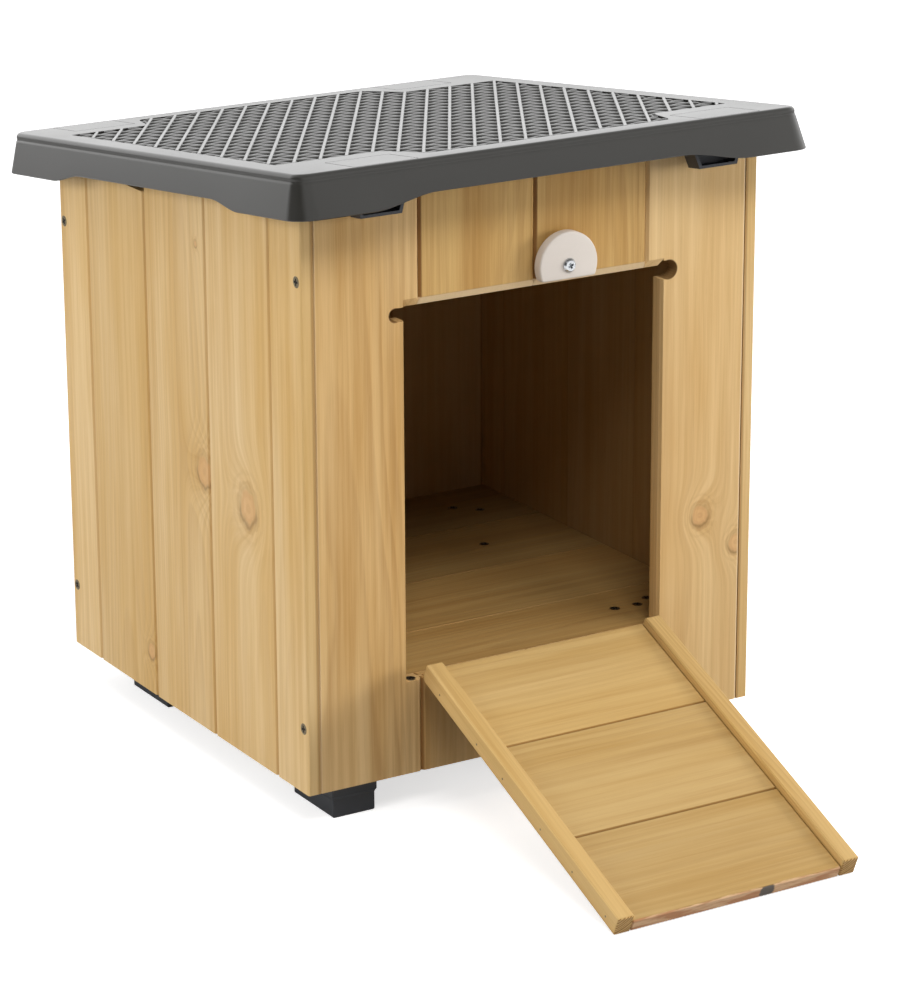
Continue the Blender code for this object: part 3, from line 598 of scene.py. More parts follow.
def board_table():
    """Every board and batten of the house: its name, directions and tones, the axis
    across it, and the way to its inner face, which is painted darker as shade."""
    table = []
    for side, inner in (("left", -1), ("right", 1)):
        for i in range(5):
            table.append((f"{side}_wall_board_{i + 1}", upright_side, honey, 1, inner))
    for name in ("front_wall_board", "lintel_board", "sill_board"):
        # The lintel boards get tones painted darker as shade
        tones = lintel_pine_in_painted_shade if name == "lintel_board" else amber
        for side in ("left", "right"):
            table.append((f"{name}_{side}", upright_front, tones, 0, 0))
    for i in range(4):
        table.append((f"rear_wall_board_{i + 1}", upright_front, honey, 0, -1))
        table.append((f"floor_board_{i + 1}", lying_across, cabin_tone, 1, 0))
    for name in ("sill_rail", "rear_bottom_rail", "rear_top_rail", "lintel_rail"):
        table.append((name, lying_across, honey, None, 0))
    for name in ("left_floor_bearer", "right_floor_bearer", "left_top_rail", "right_top_rail"):
        table.append((name, lying_along, honey, None, 0))
    return table


def board_edges(name, rows, half):
    """How dark a board's seams are, its pale arris with painted light, and its notch with painted
    shade.
    """
    if name.startswith("lintel_board"):
        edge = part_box(name)[0].z - middle(name).z + lintel_arris
        return front_seam, (2, edge, -1, lintel_pale_share), None
    if name in notches:
        side, share = (1, right_corner_light) if name.endswith("right") else (-1, left_corner_light)
        x, z, radius = notches[name]
        notch = (x - middle(name).x, z - middle(name).z, radius)
        return 0.0, (0, side * (half - corner_arris), side, share), notch
    if name in ("left_wall_board_1", "right_wall_board_1"):
        return 0.0, None, None
    return (front_seam if rows is upright_front else side_seam), None, None


def dress_house_timber():
    """Every board and batten of the house gets its own piece of pine."""
    for seed, (name, rows, tones, axis, inner) in enumerate(board_table()):
        rings, streaks = figure_of.get(name, board_figure)
        # Painted light and shade on a few boards, from the table above
        tones = [tinted(tone, lighter.get(name, 1.0)) for tone in tones]
        half = 1.0 if axis is None else board_half(name, axis)
        seam, pale_arris, notch = board_edges(name, rows, half)
        dress(name, pine_material(
            "pine_" + name, rows, middle(name), seed + board_seed, tones, rings, streaks,
            knots_of.get(name, ()), half=half, seam=seam, inner=inner, pale_arris=pale_arris, notch=notch,
        ))


def dress_ramp_timber():
    """The ramp's boards, each painted a little darker than the one above it as shade, and its
    rails.
    """
    for i in range(3):
        name = f"ramp_board_{i + 1}"
        centre, half = ramp_span(name)
        # Painted shade: each lower board is darker
        tones = [tinted(tone, 0.90 - 0.07 * i) for tone in ramp_tone]
        pine = pine_material(
            "pine_" + name, lying_across, centre, ramp_seed + i, tones, *ramp_figure,
            turn=ramp_place, half=half, seam=ramp_seam, groove=1.2,
        )
        if i == 2:
            rough_edge(pine, half, ((26, 6.5),))
        dress(name, pine)
    for i, side in enumerate(("left", "right")):
        name = f"ramp_rail_{side}"
        centre, long = ramp_span(name)
        tones = [tinted(tone, 0.93) for tone in ramp_tone]
        dress(name, pine_material(
            "pine_" + name, lying_along, centre, rail_seed + i, tones, *rail_figure,
            turn=ramp_place, pith=(22 * mm, -17 * mm, 0.0), long=long, ring=2.3 * mm,
        ))


# Meshes
def new_piece(name, bm, material, body, smooth=None, place=None):
    """Turns a bmesh into a piece at the origin that rides on a body."""
    if place is not None:
        bmesh.ops.transform(bm, matrix=place, verts=bm.verts)
    bmesh.ops.recalc_face_normals(bm, faces=bm.faces)
    mesh = bpy.data.meshes.new(name)
    bm.to_mesh(mesh)
    bm.free()
    mesh.materials.append(material)
    if smooth is not None:
        mesh.shade_smooth()
        mesh.set_sharp_from_angle(angle=math.radians(smooth))
    piece = bpy.data.objects.new(name, mesh)
    bpy.context.scene.collection.objects.link(piece)
    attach(piece, body)
    return piece


def loop_of(bm, points):
    """A closed ring of edges through the given points."""
    verts = [bm.verts.new(p) for p in points]
    return [bm.edges.new((a, b)) for a, b in zip(verts, verts[1:] + verts[:1])]


def ease(share):
    """Smooth step from 0 to 1."""
    share = min(max(share, 0.0), 1.0)
    return share * share * (3 - 2 * share)


def arc(centre_x, centre_y, radius_x, radius_y, start, steps):
    """Points of a quarter turn from a start angle in degrees."""
    points = []
    for i in range(steps + 1):
        turn = math.radians(start + 90 * i / steps)
        points.append((centre_x + radius_x * math.cos(turn), centre_y + radius_y * math.sin(turn)))
    return points


# Lid shell
lid_corner = 12 * mm
side_flare = 6.2 * mm
end_flare = 9.3 * mm
skirt_depth = 32.3 * mm
rim_depth = 6.2 * mm
rim_round = 3.5 * mm
lid_wall = 2.8 * mm
lid_panel = 3.5 * mm
corner_steps = 8
# Arrises of the skirt's lower edge, outside and inside, and of the corner under the panel
skirt_arris = 0.6 * mm
skirt_inner_arris = (0.4 * mm, 0.5 * mm)
panel_arris = (0.6 * mm, 2.4 * mm)
# Scallops of the skirt: plain length at a corner, length of the curve, rise
side_scallop = (84 * mm, 46 * mm, 6.4 * mm)
end_scallop = (54 * mm, 57 * mm, 8.1 * mm)
scallop_steps = 12
# The quirk under the rim and the fillet below it: how far out, and how far down
rim_quirk = [(-0.15 * mm, 4.6 * mm), (-0.10 * mm, 5.5 * mm), (0.15 * mm, 6.1 * mm)]
rim_fillet = [(0.50 * mm, 6.7 * mm), (0.70 * mm, 7.5 * mm)]


def scallop(place, half, shape):
    """How far the skirt's lower edge rises at a place along one side."""
    low, curve, rise = shape
    return rise * ease((half - low - abs(place)) / curve)


def lid_ring(out, down, flare=0.0, scalloped=False):
    """Points round the lid at one level, in its own frame."""
    half_x, half_y = lid_width / 2, lid_length / 2
    wide, long = out + flare * side_flare, out + flare * end_flare
    x, y = half_x + wide, half_y + long
    corner_x, corner_y = lid_corner + wide, lid_corner + long
    drop = skirt_depth - rim_depth
    points = []

    def corner(cx, cy, start):
        ring = arc(cx, cy, corner_x, corner_y, start, corner_steps)
        points.extend((px, py, 0.0) for px, py in ring)

    def side(half, shape, lean, put):
        low, curve, _ = shape
        start = half - low
        places = [-start + curve * i / scallop_steps for i in range(scallop_steps + 1)]
        places += [-s for s in reversed(places)]
        for s in places:
            lift = scallop(s, half, shape) if scalloped else 0.0
            px, py = put(s, lift * lean / drop)
            points.append((px, py, lift))

    corner(-x + corner_x, -y + corner_y, 180)
    side(half_x, end_scallop, end_flare, lambda s, d: (s, -y + d))
    corner(x - corner_x, -y + corner_y, 270)
    side(half_y, side_scallop, side_flare, lambda s, d: (x - d, s))
    corner(x - corner_x, y - corner_y, 0)
    side(half_x, end_scallop, end_flare, lambda s, d: (-s, y - d))
    corner(-x + corner_x, y - corner_y, 90)
    side(half_y, side_scallop, side_flare, lambda s, d: (-x + d, -s))
    return [(px, lid_middle + py, lid_top - down + lift) for px, py, lift in points]


# The sunken field: half width, and how far in its edge runs at the corners and between
field_half = 197.2 * mm
field_deep = 70 * mm
field_near = 25 * mm
field_sink = 2.1 * mm
field_turns = (-102.7 * mm, 122.7 * mm)
field_slope = 20 * mm
# The clip covers: size, places across, and the joint cut round them
cover_size = (54 * mm, 44 * mm)
cover_left = -142.5 * mm
cover_right = 156.5 * mm
cover_inset = 4 * mm
cover_corner = 2 * mm
cover_gap = 0.7 * mm
cover_joint = 1.1 * mm


def field_edge(steps=10):
    """Distance of the field's edge from the lid's front edge, as (x, distance)."""
    left, right = field_turns
    points = [(-field_half, field_deep)]
    for turn, start, end in ((left, field_deep, field_near), (right, field_near, field_deep)):
        for i in range(steps + 1):
            share = i / steps
            deep = start + (end - start) * ease(share)
            points.append((turn - field_slope / 2 + field_slope * share, deep))
    points.append((field_half, field_deep))
    return points


def field_outline():
    """The field's outline in the lid's plane, its rear the front turned half round."""
    front = [(x, lid_front + d) for x, d in field_edge()]
    rear = [(-x, 2 * lid_middle - y) for x, y in front]
    return front + rear


def rounded_box(x0, y0, x1, y1, radius, steps=4):
    """Outline of a box with round corners."""
    points = arc(x0 + radius, y0 + radius, radius, radius, 180, steps)
    points += arc(x1 - radius, y0 + radius, radius, radius, 270, steps)
    points += arc(x1 - radius, y1 - radius, radius, radius, 0, steps)
    points += arc(x0 + radius, y1 - radius, radius, radius, 90, steps)
    return points


def cover_boxes():
    """The four clip covers, as corners in the lid's plane."""
    wide, long = cover_size
    boxes = []
    for x in (cover_left, cover_right):
        y = lid_front + cover_inset
        boxes.append((x - wide / 2, y, x + wide / 2, y + long))
        y = 2 * lid_middle - y
        boxes.append((-x - wide / 2, y - long, -x + wide / 2, y))
    return boxes


def of_kind(geometry, kind):
    """The parts of a bmesh operator's result that are of one kind."""
    return [part for part in geometry if isinstance(part, kind)]


def drop_edges(bm, edges, down):
    """Extrudes a ring of edges down; returns the new ring."""
    made = bmesh.ops.extrude_edge_only(bm, edges=edges)["geom"]
    bmesh.ops.translate(bm, verts=of_kind(made, bmesh.types.BMVert), vec=(0, 0, -down))
    return of_kind(made, bmesh.types.BMEdge)


def add_cover(bm, box):
    """A clip cover with a joint cut round it; returns the hole that it needs in the deck."""
    x0, y0, x1, y1 = box
    gap = cover_gap
    hole = rounded_box(x0, y0, x1, y1, cover_corner)
    plate = rounded_box(x0 + gap, y0 + gap, x1 - gap, y1 - gap, cover_corner - 0.6 * mm)
    outer = loop_of(bm, [(x, y, lid_top) for x, y in hole])
    inner = loop_of(bm, [(x, y, lid_top) for x, y in plate])
    low = drop_edges(bm, outer, cover_joint)
    top = drop_edges(bm, inner, cover_joint)
    bmesh.ops.bridge_loops(bm, edges=low + top)
    bmesh.ops.contextual_create(bm, geom=inner)
    return outer


def make_lid(material):
    """The moulded shell: rounded rim, dark quirk, bright fillet, drafted skirt, deck."""
    bm = bmesh.new()
    turn = [math.radians(a) for a in (90, 72, 54, 36, 18, 0)]
    radius = rim_round
    rows = [(-radius + radius * math.cos(a), radius - radius * math.sin(a)) for a in turn]
    rows += rim_quirk + rim_fillet
    rows += [(0, skirt_depth - skirt_arris, 0.99, True), (-skirt_arris, skirt_depth, 1.0, True)]
    in_by, up_by = skirt_inner_arris
    rows += [(-lid_wall + in_by, skirt_depth, 1.0, True)]
    rows += [(-lid_wall, skirt_depth - up_by, 1.0, True)]
    out_by, down_by = panel_arris
    rows += [(out_by - lid_wall, rim_depth + down_by), (-lid_wall, lid_panel)]
    rings = [loop_of(bm, lid_ring(*row)) for row in rows]
    for upper, lower in zip(rings, rings[1:]):
        bmesh.ops.bridge_loops(bm, edges=upper + lower)
    bmesh.ops.contextual_create(bm, geom=rings[-1])
    field = loop_of(bm, [(x, y, lid_top) for x, y in field_outline()])
    deck = rings[0] + field
    floor = drop_edges(bm, field, field_sink)
    bmesh.ops.contextual_create(bm, geom=floor)
    for box in cover_boxes():
        deck += add_cover(bm, box)
    bmesh.ops.triangle_fill(bm, edges=deck, use_beauty=True)
    piece = new_piece("lid_shell", bm, material, "lid_body", 30, lid_place)
    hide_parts("lid")


# The woven pattern in the field: flat stakes on a slant, strands between them. Stakes are
# counted from one that starts at a known place, and end a little short of the field's edge
stake_slant = math.radians(31.0)
stake_pitch = 21.9 * mm * math.cos(stake_slant)
stake_width = 2.9 * mm
stake_start = Vector((-92.4 * mm, lid_front + 37.5 * mm))
stake_lanes = range(-32, 32)
stake_end_gap = 0.5 * mm
stake_least = 4 * mm
strand_pitch = 11.0 * mm
strand_side_gap = 0.9 * mm
strand_end_gap = 0.5 * mm
strand_fill = 0.47
strand_least_width = 0.8 * mm
strand_least_length = 3 * mm
stake_run = Vector((math.sin(stake_slant), math.cos(stake_slant)))
stake_side = Vector((math.cos(stake_slant), -math.sin(stake_slant)))


def crossings(outline, point, direction):
    """Distances along a line at which it crosses a closed outline, in order."""
    found = []
    side = Vector((direction.y, -direction.x))
    for a, b in zip(outline, outline[1:] + outline[:1]):
        first = (Vector(a) - point).dot(side)
        second = (Vector(b) - point).dot(side)
        if (first < 0) != (second < 0):
            share = first / (first - second)
            met = Vector(a).lerp(Vector(b), share)
            found.append((met - point).dot(direction))
    return sorted(found)


def longest(ends, cell):
    """The longest stretch of a cell that lies between the crossings of a pair."""
    stretches = [(max(cell[0], a), min(cell[1], b)) for a, b in zip(ends[::2], ends[1::2])]
    return max(stretches, key=lambda s: s[1] - s[0], default=(0.0, 0.0))


def add_rib(bm, start, end, half, base, crown, shape, steps, ends=(1.0, 1.0), pinch=1.0,
            reach=0.28):
    """A rib between two points of the lid's plane. Shape pairs a place across it with a
    share of its height; its two ends keep a share of the height and of the width, and
    reach is the share of its length over which they run out."""
    run = end - start
    side = Vector((run.y, -run.x)).normalized()
    made = bmesh.ops.create_grid(bm, x_segments=steps, y_segments=len(shape) - 1, size=0.5)
    for v in made["verts"]:
        along = v.co.x + 0.5
        across, rise = shape[round((v.co.y + 0.5) * (len(shape) - 1))]
        near, far = ease(along / reach), ease((1 - along) / reach)
        low = (ends[0] + (1 - ends[0]) * near) * (ends[1] + (1 - ends[1]) * far)
        wide = pinch + (1 - pinch) * min(near, far)
        point = start + run * along + side * half * across * wide
        v.co = (point.x, point.y, base + (crown - base) * rise * low)


def gather(whole, part):
    """Closes the undersides of a few ribs, and adds them to the whole."""
    bmesh.ops.holes_fill(part, edges=part.edges, sides=0)
    bmesh.ops.recalc_face_normals(part, faces=part.faces)
    mesh = bpy.data.meshes.new("ribs")
    part.to_mesh(mesh)
    part.free()
    whole.from_mesh(mesh)
    bpy.data.meshes.remove(mesh)


# Sections of a stake and of a strand: place across, and share of the height
stake_shape = ((-1.0, 0.0), (-0.92, 0.80), (-0.60, 1.0), (0.60, 1.0), (0.92, 0.80), (1.0, 0.0))
strand_shape = (
    (-1.0, 0.0), (-0.93, 0.38), (-0.72, 0.72), (-0.38, 0.94), (0.0, 1.0),
    (0.38, 0.94), (0.72, 0.72), (0.93, 0.38), (1.0, 0.0),
)
weave_floor = lid_top - field_sink - 0.1 * mm
stake_crown = lid_top + 0.1 * mm
strand_crown = lid_top - 0.15 * mm


def add_stakes(part, outline, point):
    """The stakes on one slanting line through a point, from edge to edge of the field."""
    ends = crossings(outline, point, stake_run)
    for low, high in zip(ends[::2], ends[1::2]):
        if high - low > stake_least:
            a = point + stake_run * (low + stake_end_gap)
            b = point + stake_run * (high - stake_end_gap)
            add_rib(part, a, b, stake_width / 2, weave_floor, stake_crown, stake_shape, 3)


def add_strands(part, outline, centre, lane):
    """The strands between two stakes. Each cell takes the longest of three lines that
    run through it, so that the field's corners are filled too."""
    half = stake_pitch / 2 - strand_side_gap
    probes = [centre + stake_side * half * share for share in (0.0, -0.7, 0.7)]
    probes = [(spot, crossings(outline, spot, stake_run)) for spot in probes]
    reach = [end for _, ends in probes for end in ends] or [0.0]
    first, last = math.floor(min(reach) / strand_pitch), math.ceil(max(reach) / strand_pitch)
    for i in range(first, last):
        cell = (i * strand_pitch, (i + 1) * strand_pitch)
        best, spot = (0.0, 0.0), centre
        for probe, ends in probes:
            found = longest(ends, cell)
            if found[1] - found[0] > best[1] - best[0] + 0.1 * mm:
                best, spot = found, probe
        wide = (best[1] - best[0]) * strand_fill
        if wide < strand_least_width:
            continue
        offset = (spot - centre).dot(stake_side)
        spot = spot + stake_run * (best[0] + best[1]) / 2
        edges = enumerate(crossings(outline, spot, stake_side))
        cross = [edge + strand_end_gap * (-1) ** k for k, edge in edges]
        left, right = longest(cross, (-half - offset, half - offset))
        if right - left < strand_least_length:
            continue
        a, b = spot + stake_side * left, spot + stake_side * right
        over = (1.0, 0.38) if (i + lane) % 2 else (0.38, 1.0)
        add_rib(part, a, b, wide, weave_floor, strand_crown, strand_shape, 8, over, 0.8, 0.6)


def make_weave(stake_material, strand_material):
    """All the stakes as one piece, and all the strands as another."""
    outline = field_outline()
    stakes, strands = bmesh.new(), bmesh.new()
    for lane in stake_lanes:
        point = stake_start + stake_side * stake_pitch * lane
        part = bmesh.new()
        add_stakes(part, outline, point)
        gather(stakes, part)
        part = bmesh.new()
        add_strands(part, outline, point + stake_side * stake_pitch / 2, lane)
        gather(strands, part)
    for name, bm, material in (
        ("lid_stakes", stakes, stake_material),
        ("lid_strands", strands, strand_material),
    ):
        new_piece(name, bm, material, "lid_body", 50, lid_place)


# Screws and nails
screw_dome = 0.3 * mm
screw_stem = 1.2 * mm
screw_proud = 0.05 * mm
wall_screw_radius = 4.4 * mm
floor_screw_radius = 4.2 * mm
sill_screw_radius = 4.0 * mm
leaf_screw_radius = 2.2 * mm
bracket_screw_radius = 2.6 * mm
nail_radius = 0.9 * mm
nail_stem = 0.8 * mm
nail_proud = 0.12 * mm


def cross_points(reach, half):
    """Corners of a cross recess, by its reach and its slots' half width."""
    quarter = [(reach, -half), (reach, half), (half, half)]
    points = []
    for turn in range(4):
        c, s = ((1, 0), (0, 1), (-1, 0), (0, -1))[turn]
        points += [(c * x - s * y, s * x + c * y) for x, y in quarter]
    return points


def add_screw(bm, place, radius, dome, stem, cross=0.62, deep=None):
    """A cross-recess screw head facing +Z of its place, its rim at the place's level. A
    head that is flush has a shallow recess, with the second material in it as painted
    shade."""
    start = len(bm.verts)
    sides = 28
    turns = [math.tau * i / sides for i in range(sides)]
    ring = [(math.cos(turn), math.sin(turn)) for turn in turns]
    top = dome * 0.85
    rows = [(1.0, -stem), (1.0, 0.0), (0.92, dome * 0.42), (0.72, top)]
    loops = [loop_of(bm, [(radius * r * c, radius * r * s, z) for c, s in ring]) for r, z in rows]
    for lower, upper in zip(loops, loops[1:]):
        bmesh.ops.bridge_loops(bm, edges=lower + upper)
    bmesh.ops.contextual_create(bm, geom=loops[0])
    half, taper = (radius * 0.15, 0.62) if deep is None else (radius * 0.2, 0.9)
    slot = loop_of(bm, [(x, y, top) for x, y in cross_points(radius * cross, half)])
    bmesh.ops.triangle_fill(bm, edges=loops[-1] + slot, use_beauty=True)
    made = bmesh.ops.extrude_edge_only(bm, edges=slot)["geom"]
    for v in of_kind(made, bmesh.types.BMVert):
        v.co.x *= taper
        v.co.y *= taper
        v.co.z = top - (deep or radius * 0.55)
    floor = bmesh.ops.contextual_create(bm, geom=of_kind(made, bmesh.types.BMEdge))["faces"]
    if deep is not None:
        for face in floor + of_kind(made, bmesh.types.BMFace):
            face.material_index = 1
    bm.verts.ensure_lookup_table()
    bmesh.ops.transform(bm, matrix=place, verts=bm.verts[start:])


def facing(point, normal, spin=0.0):
    """Place whose +Z is the given normal."""
    turned = Vector(normal).to_track_quat("Z", "Y").to_matrix().to_4x4()
    return Matrix.Translation(point) @ turned @ Matrix.Rotation(spin, 4, "Z")


def screws(name, spots, radius, materials, body, proud=0.0):
    """Flat screw heads at the spots, their recess painted dark as shade in the second of the
    materials.
    """
    bm = bmesh.new()
    draw = random.Random(len(spots) * 7 + 3)
    for point, normal in spots:
        place = facing(Vector(point) + Vector(normal) * proud, normal, draw.uniform(0, 1.5))
        add_screw(bm, place, radius, screw_dome, screw_stem, deep=screw_dome * 0.7)
    piece = new_piece(name, bm, materials[0], body, 35)
    piece.data.materials.append(materials[1])


def nails(name, spots, radius, material, body):
    """Round nail heads at the spots, a little proud of the wood."""
    bm = bmesh.new()
    for point, normal in spots:
        place = facing(Vector(point) + Vector(normal) * (nail_proud - nail_stem / 2), normal)
        bmesh.ops.create_cone(
            bm, cap_ends=True, segments=16, radius1=radius, radius2=radius * 0.9,
            depth=nail_stem, matrix=place,
        )
    new_piece(name, bm, material, body, 35)


# Wall screws: distance from a corner, and heights above the walls' foot
wall_screw_inset = 6.7 * mm
front_screw_heights = (396 * mm, 52 * mm)
rear_screw_heights = (361 * mm, 52 * mm)
# Floor and sill screws: places to either side of the middle, and behind the front wall
floor_screw_spots = ((109, 54), (130, 53), (145, 62), (105, 245), (150, 325), (133, 342))
sill_screw_spot = (108.5, 5)
# Ramp nails: distances from the hinge's edge, and height above the ramp's own level
nail_places = (29, 86, 125, 181, 227, 274)
nail_height = 8.9 * mm
# Leaf screws: places across, and how far the outer and the middle ones lie from an edge
leaf_screw_places = (-13, 0, 13)
sill_leaf_heights = (6 * mm, 11 * mm)
ramp_leaf_reaches = (16 * mm, 11 * mm)
leaf_thickness = 1.4 * mm
ramp_leaf_face = 1.2 * mm
# Bracket screws: places across, height above the bracket's foot, and the plate's face
bracket_screw_places = (-14, 14)
bracket_screw_height = 5.5 * mm
bracket_face = 3.5 * mm


def make_house_screws(material):
    """The screws of the side walls, the floor and the sill."""
    for side, sign in (("left", -1), ("right", 1)):
        x = sign * side_face
        places = [(front_face + wall_screw_inset, height) for height in front_screw_heights]
        places += [(rear_face - wall_screw_inset, height) for height in rear_screw_heights]
        spots = [((x, y, wall_foot + height), (sign, 0, 0)) for y, height in places]
        name = f"{side}_wall_screws"
        screws(name, spots, wall_screw_radius, material, "house", screw_proud)
    for name, places, radius in (
        ("floor_screws", floor_screw_spots, floor_screw_radius),
        ("sill_screws", (sill_screw_spot,), sill_screw_radius),
    ):
        spots = []
        for x, y in places:
            for sign in (-1, 1):
                spots.append(((sign * x * mm, front_face + y * mm, floor_top), (0, 0, 1)))
        screws(name, spots, radius, material, "house", screw_proud)


def make_ramp_nails(material):
    """The nails through the rails' outer faces into the boards."""
    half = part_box("ramp_rail_right")[1].x
    for side, sign in (("left", -1), ("right", 1)):
        normal = ramp_place.to_3x3() @ Vector((sign, 0, 0))
        spots = []
        for along in nail_places:
            point = ramp_place @ Vector((sign * half, -along * mm, nail_height))
            spots.append((point, normal))
        nails(f"ramp_nails_{side}", spots, nail_radius, material, "ramp")


def make_hinge_screws(material):
    """The screws of the ramp's butt hinges and of the lid's brackets."""
    leaf_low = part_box("sill_leaf_left")[0].z
    down = ramp_place.to_3x3() @ Vector((0, 0, -1))
    for side in ("left", "right"):
        centre = middle(f"ramp_leaf_{side}").x
        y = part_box(f"sill_leaf_{side}")[1].y - leaf_thickness
        sill_spots, ramp_spots = [], []
        for across in leaf_screw_places:
            x = centre + across * mm
            row = 0 if across else 1
            sill_spots.append(((x, y, leaf_low + sill_leaf_heights[row]), (0, -1, 0)))
            point = ramp_place @ Vector((x, -ramp_leaf_reaches[row], ramp_leaf_face))
            ramp_spots.append((point, down))
        screws(f"sill_leaf_screws_{side}", sill_spots, leaf_screw_radius, material, "house")
        screws(f"ramp_leaf_screws_{side}", ramp_spots, leaf_screw_radius, material, "ramp")
        low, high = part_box(f"hinge_bracket_{side}")
        x, y = (low.x + high.x) / 2, rear_face + bracket_face
        z = low.z + bracket_screw_height
        spots = [((x + across * mm, y, z), (0, 1, 0)) for across in bracket_screw_places]
        screws(f"bracket_screws_{side}", spots, bracket_screw_radius, material, "house")


# The turn button: radius, distance of its flat from the middle, bore and rounded arris
button_radius = 25.5 * mm
button_flat = 10.7 * mm
button_bore = 2.3 * mm
button_round = 1.4 * mm
# Its pan screw: radius and height of the head, how far it stands off, and the shank
pan_radius = 5.5 * mm
pan_height = 2.5 * mm
pan_stem = 0.2 * mm
pan_stand = 0.3 * mm
pan_shank = 1.85 * mm


def upright_arc(radius, start, sweep, count, closed=False):
    """Points of an arc in the x and z plane, without its last one where it closes."""
    turns = [math.radians(start + sweep * i / count) for i in range(count + (not closed))]
    return [(radius * math.cos(turn), 0, radius * math.sin(turn)) for turn in turns]


def make_button(material, bright):
    """The turn button as a rounded disc with one flat, and its pan head screw."""
    low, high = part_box("turn_button")
    centre = Vector(((low.x + high.x) / 2, high.y, joints["button_turn"]["pos_m"][2]))
    start = math.degrees(math.acos(button_flat / button_radius))
    bm = bmesh.new()
    rim = loop_of(bm, upright_arc(button_radius, -90 + start, 360 - 2 * start, 72))
    bore = loop_of(bm, upright_arc(button_bore, 0, 360, 24, closed=True))
    filled = bmesh.ops.triangle_fill(bm, edges=rim + bore, use_beauty=True)["geom"]
    rear = of_kind(filled, bmesh.types.BMFace)
    grown = bmesh.ops.extrude_face_region(bm, geom=rear)["geom"]
    front = of_kind(grown, bmesh.types.BMVert)
    bmesh.ops.translate(bm, verts=front, vec=(0, low.y - high.y, 0))
    outer = [e for e in bm.edges if all(v.co.xz.length > 10 * mm for v in e.verts)]
    sharp = [e for e in outer if len(e.link_faces) == 2 and e.calc_face_angle() > 0.8]
    bmesh.ops.bevel(
        bm, geom=sharp, offset=button_round, offset_type="OFFSET", segments=4, profile=0.5,
        affect="EDGES", material=-1, clamp_overlap=True,
    )
    piece = new_piece(
        "button_disc", bm, material, "button", 35, Matrix.Translation(centre)
    )
    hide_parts("turn_button")
    bm = bmesh.new()
    face = Vector((centre.x, low.y - pan_stand, centre.z))
    add_screw(bm, facing(face, (0, -1, 0), 0.35), pan_radius, pan_height, pan_stem, 0.42)
    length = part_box("button_screw")[1].y - face.y
    bmesh.ops.create_cone(
        bm, cap_ends=True, segments=20, radius1=pan_shank, radius2=pan_shank,
        depth=length - 0.6 * mm, matrix=facing(face + Vector((0, length / 2, 0)), (0, -1, 0)),
    )
    piece = new_piece("pan_screw", bm, bright, "house", 35)
    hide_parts("button_screw")


# Stage
# The floor's grey to the eye and to the light that it throws back
floor_seen = (0.92, 0.92, 0.92, 1.0)
floor_thrown = (0.36, 0.36, 0.36, 1.0)
white = (1.0, 1.0, 1.0, 1.0)


def make_stage():
    """A white studio floor."""
    bm = bmesh.new()
    bmesh.ops.create_grid(bm, x_segments=1, y_segments=1, size=12.0)
    mesh = bpy.data.meshes.new("studio_floor")
    bm.to_mesh(mesh)
    bm.free()
    floor = bpy.data.objects.new("studio_floor", mesh)
    bpy.context.scene.collection.objects.link(floor)
    made, tree, shader = new_material("studio_floor")
    path = node(tree, "LightPath").outputs
    colour = blended(path["Is Diffuse Ray"], floor_seen, floor_thrown)
    feed(shader.inputs["Base Color"], colour)
    shader.inputs["Roughness"].default_value = 0.9
    shader.inputs["Specular IOR Level"].default_value = 0.1
    shader.inputs["Emission Color"].default_value = white
    glow = times(path["Is Camera Ray"], 0.62)
    feed(shader.inputs["Emission Strength"], glow)
    mesh.materials.append(made)


def add_light(name, place, aim, size, power):
    """A soft box that the plastic doesn't mirror; the world does that."""
    light = bpy.data.lights.new(name, "AREA")
    light.shape = "RECTANGLE"
    light.size, light.size_y = size
    light.energy = power
    lamp = bpy.data.objects.new(name, light)
    lamp.location = place
    lamp.visible_glossy = False
    lamp.rotation_euler = (Vector(aim) - Vector(place)).to_track_quat("-Z", "Y").to_euler()
    bpy.context.scene.collection.objects.link(lamp)


def make_world():
    """A white surround: plain to the eye, soft on the faces, bright in polished plastic.
    A dark flag at the left is what the lid's front corner mirrors."""
    world = bpy.data.worlds.new("studio")
    world.use_nodes = True
    tree = world.node_tree
    parts = split(node(tree, "TexCoord").outputs["Generated"])
    path = node(tree, "LightPath").outputs
    soft = mapped(parts[2], -0.1, 0.9, 0.26, 0.66)
    soft = times(soft, mapped(parts[1], -0.95, 0.1, 0.20, 1.0))
    shiny = mapped(parts[2], 0.2, 0.9, 2.1, 0.8)
    shiny = times(shiny, mapped(parts[1], -0.8, 0.3, 0.66, 1.0))
    flag = mapped(parts[0], -0.76, -0.62, 0.0, 1.0)
    shiny = times(shiny, flag)
    strength = node(tree, "Mix", path["Is Glossy Ray"], None, soft, shiny).outputs[0]
    strength = node(tree, "Mix", path["Is Camera Ray"], None, strength, 1.0).outputs[0]
    sky = tree.nodes["Background"]
    sky.inputs["Color"].default_value = white
    feed(sky.inputs["Strength"], strength)
    bpy.context.scene.world = world


def make_light():
    """The surround and five soft boxes."""
    make_world()
    add_light("left_soft", (-3.0, 0.4, 1.1), (0, 0.1, 0.25), (1.6, 1.6), 51)
    add_light("right_soft", (2.6, -1.6, 0.7), (0, -0.1, 0.25), (1.5, 0.9), 58)
    add_light("front_soft", (0.9, -1.8, 2.5), (0, -0.1, 0.25), (1.2, 1.2), 22)
    add_light("fill_soft", (-0.8, -2.1, 2.7), (0, -0.1, 0.25), (1.3, 1.0), 35)
    add_light("top_soft", (-0.2, 0.3, 3.0), (0, -0.1, 0.2), (2.0, 2.0), 5)


# Camera: the photograph's own angle, without a shift. Angles are in radians, and the
# focal length is in pixels of a picture that is a thousand pixels high
camera_place = Vector((-1482.35, -2420.15, 1129.03)) * mm
camera_yaw = 0.5428
camera_dip = 0.3142
camera_roll = -0.0046
camera_focus = 3831.8
sensor_width = 36.0


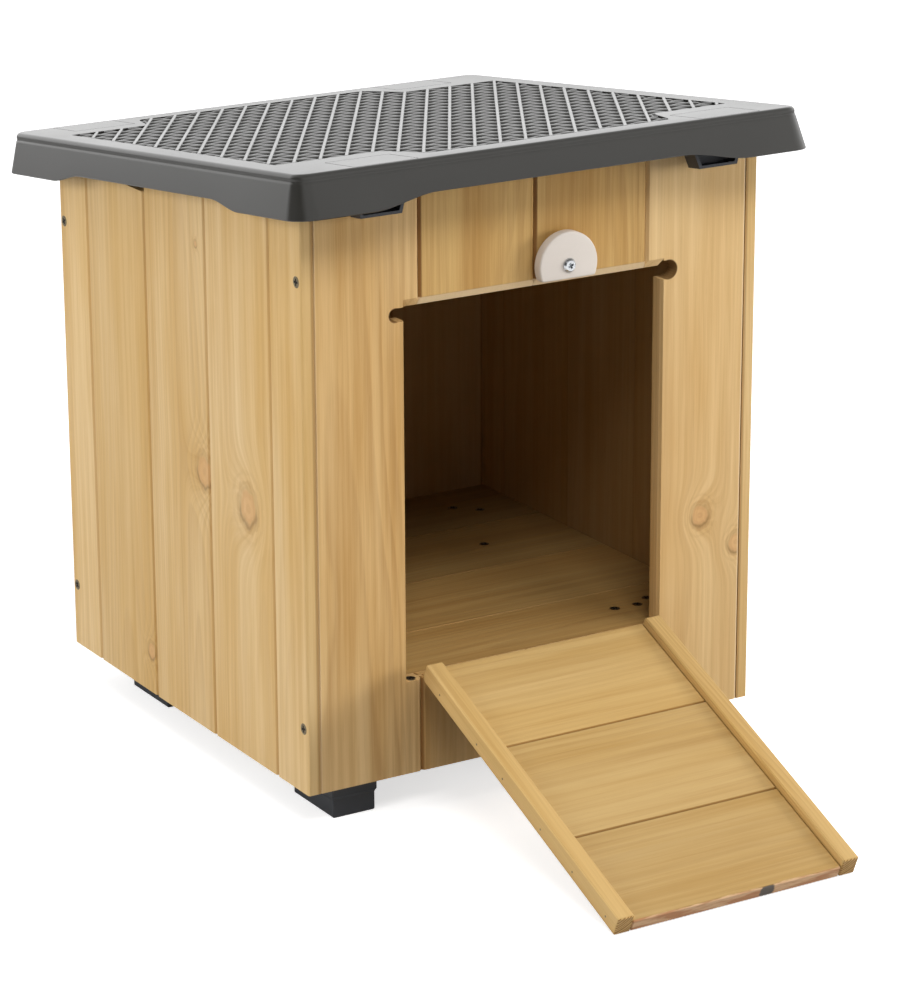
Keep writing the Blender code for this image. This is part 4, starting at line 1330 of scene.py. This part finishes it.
def make_camera():
    """The photograph's camera."""
    data = bpy.data.cameras.new("camera")
    data.sensor_width = sensor_width
    data.lens = camera_focus / 1000 * sensor_width
    data.clip_start, data.clip_end = 0.05, 60.0
    camera = bpy.data.objects.new("camera", data)
    heading = Matrix.Rotation(-camera_yaw, 4, "Z")
    dip = Matrix.Rotation(math.pi / 2 - camera_dip, 4, "X")
    roll = Matrix.Rotation(camera_roll, 4, "Z")
    camera.matrix_world = Matrix.Translation(camera_place) @ (heading @ dip @ roll)
    bpy.context.scene.collection.objects.link(camera)
    bpy.context.scene.camera = camera


# Plastics: colour, depth of the bump in millimetres, gloss and grain
graphite = rgb(43, 42, 39)
plastics = {
    name: plain_material(name, moulding_group, colour, depth * mm, Gloss=gloss, Grain=grain)
    for name, colour, depth, gloss, grain in (
        ("graphite_plastic", graphite, 0.012, 0.26, 1.0),
        # The stakes and strands are copies of the lid's graphite: stakes painted lighter as
        # highlight, strands painted darker as shade
        ("graphite_stake_painted_light", tinted(graphite, 1.15), 0.008, 0.22, 0.6),
        ("graphite_strand_painted_shade", tinted(graphite, 0.9), 0.02, 0.34, 1.2),
        ("black_plastic", rgb(44, 46, 50), 0.05, 0.44, 1.0),
        ("ivory_plastic", rgb(212, 203, 194), 0.03, 0.42, 0.6),
        # Near black in the screws' recesses: painted shade
        ("screw_recess_painted_shade", rgb(22, 18, 14), 0.02, 0.8, 1.0),
    )
}
bright_zinc = plain_material(
    "bright_zinc", zinc_group, (0.62, 0.64, 0.66, 1.0), 0.02 * mm, 1.0, Gloss=0.18
)
dull_zinc = plain_material(
    "dull_zinc", zinc_group, (0.27, 0.22, 0.14, 1.0), 0.02 * mm, 1.0, Gloss=0.42
)


def dress_fittings():
    """Feet, hinges, catches and button in plastic and zinc."""
    for name in ("front_left_foot", "front_right_foot", "rear_left_foot", "rear_right_foot"):
        dress(name, plastics["black_plastic"])
    for side in ("left", "right"):
        for name in ("hinge_bracket", "hinge_arm", "front_catch"):
            dress(f"{name}_{side}", plastics["black_plastic"])
        for name in ("lid_pin", "sill_leaf", "ramp_leaf", "ramp_pin"):
            dress(f"{name}_{side}", bright_zinc)
    dress("button_washer", bright_zinc)
    dress("button_screw", bright_zinc)
    dress("turn_button", plastics["ivory_plastic"])
    dress("lid", plastics["graphite_plastic"])


dress_house_timber()
dress_ramp_timber()
dress_fittings()
make_lid(plastics["graphite_plastic"])
# The weave's stakes carry painted light and its strands painted shade
make_weave(plastics["graphite_stake_painted_light"], plastics["graphite_strand_painted_shade"])
make_house_screws((dull_zinc, plastics["screw_recess_painted_shade"]))
make_ramp_nails(dull_zinc)
make_hinge_screws((bright_zinc, plastics["screw_recess_painted_shade"]))
make_button(plastics["ivory_plastic"], bright_zinc)
make_stage()
make_light()
make_camera()
settings = bpy.context.scene.view_settings
settings.view_transform = "Standard"
settings.look = "None"
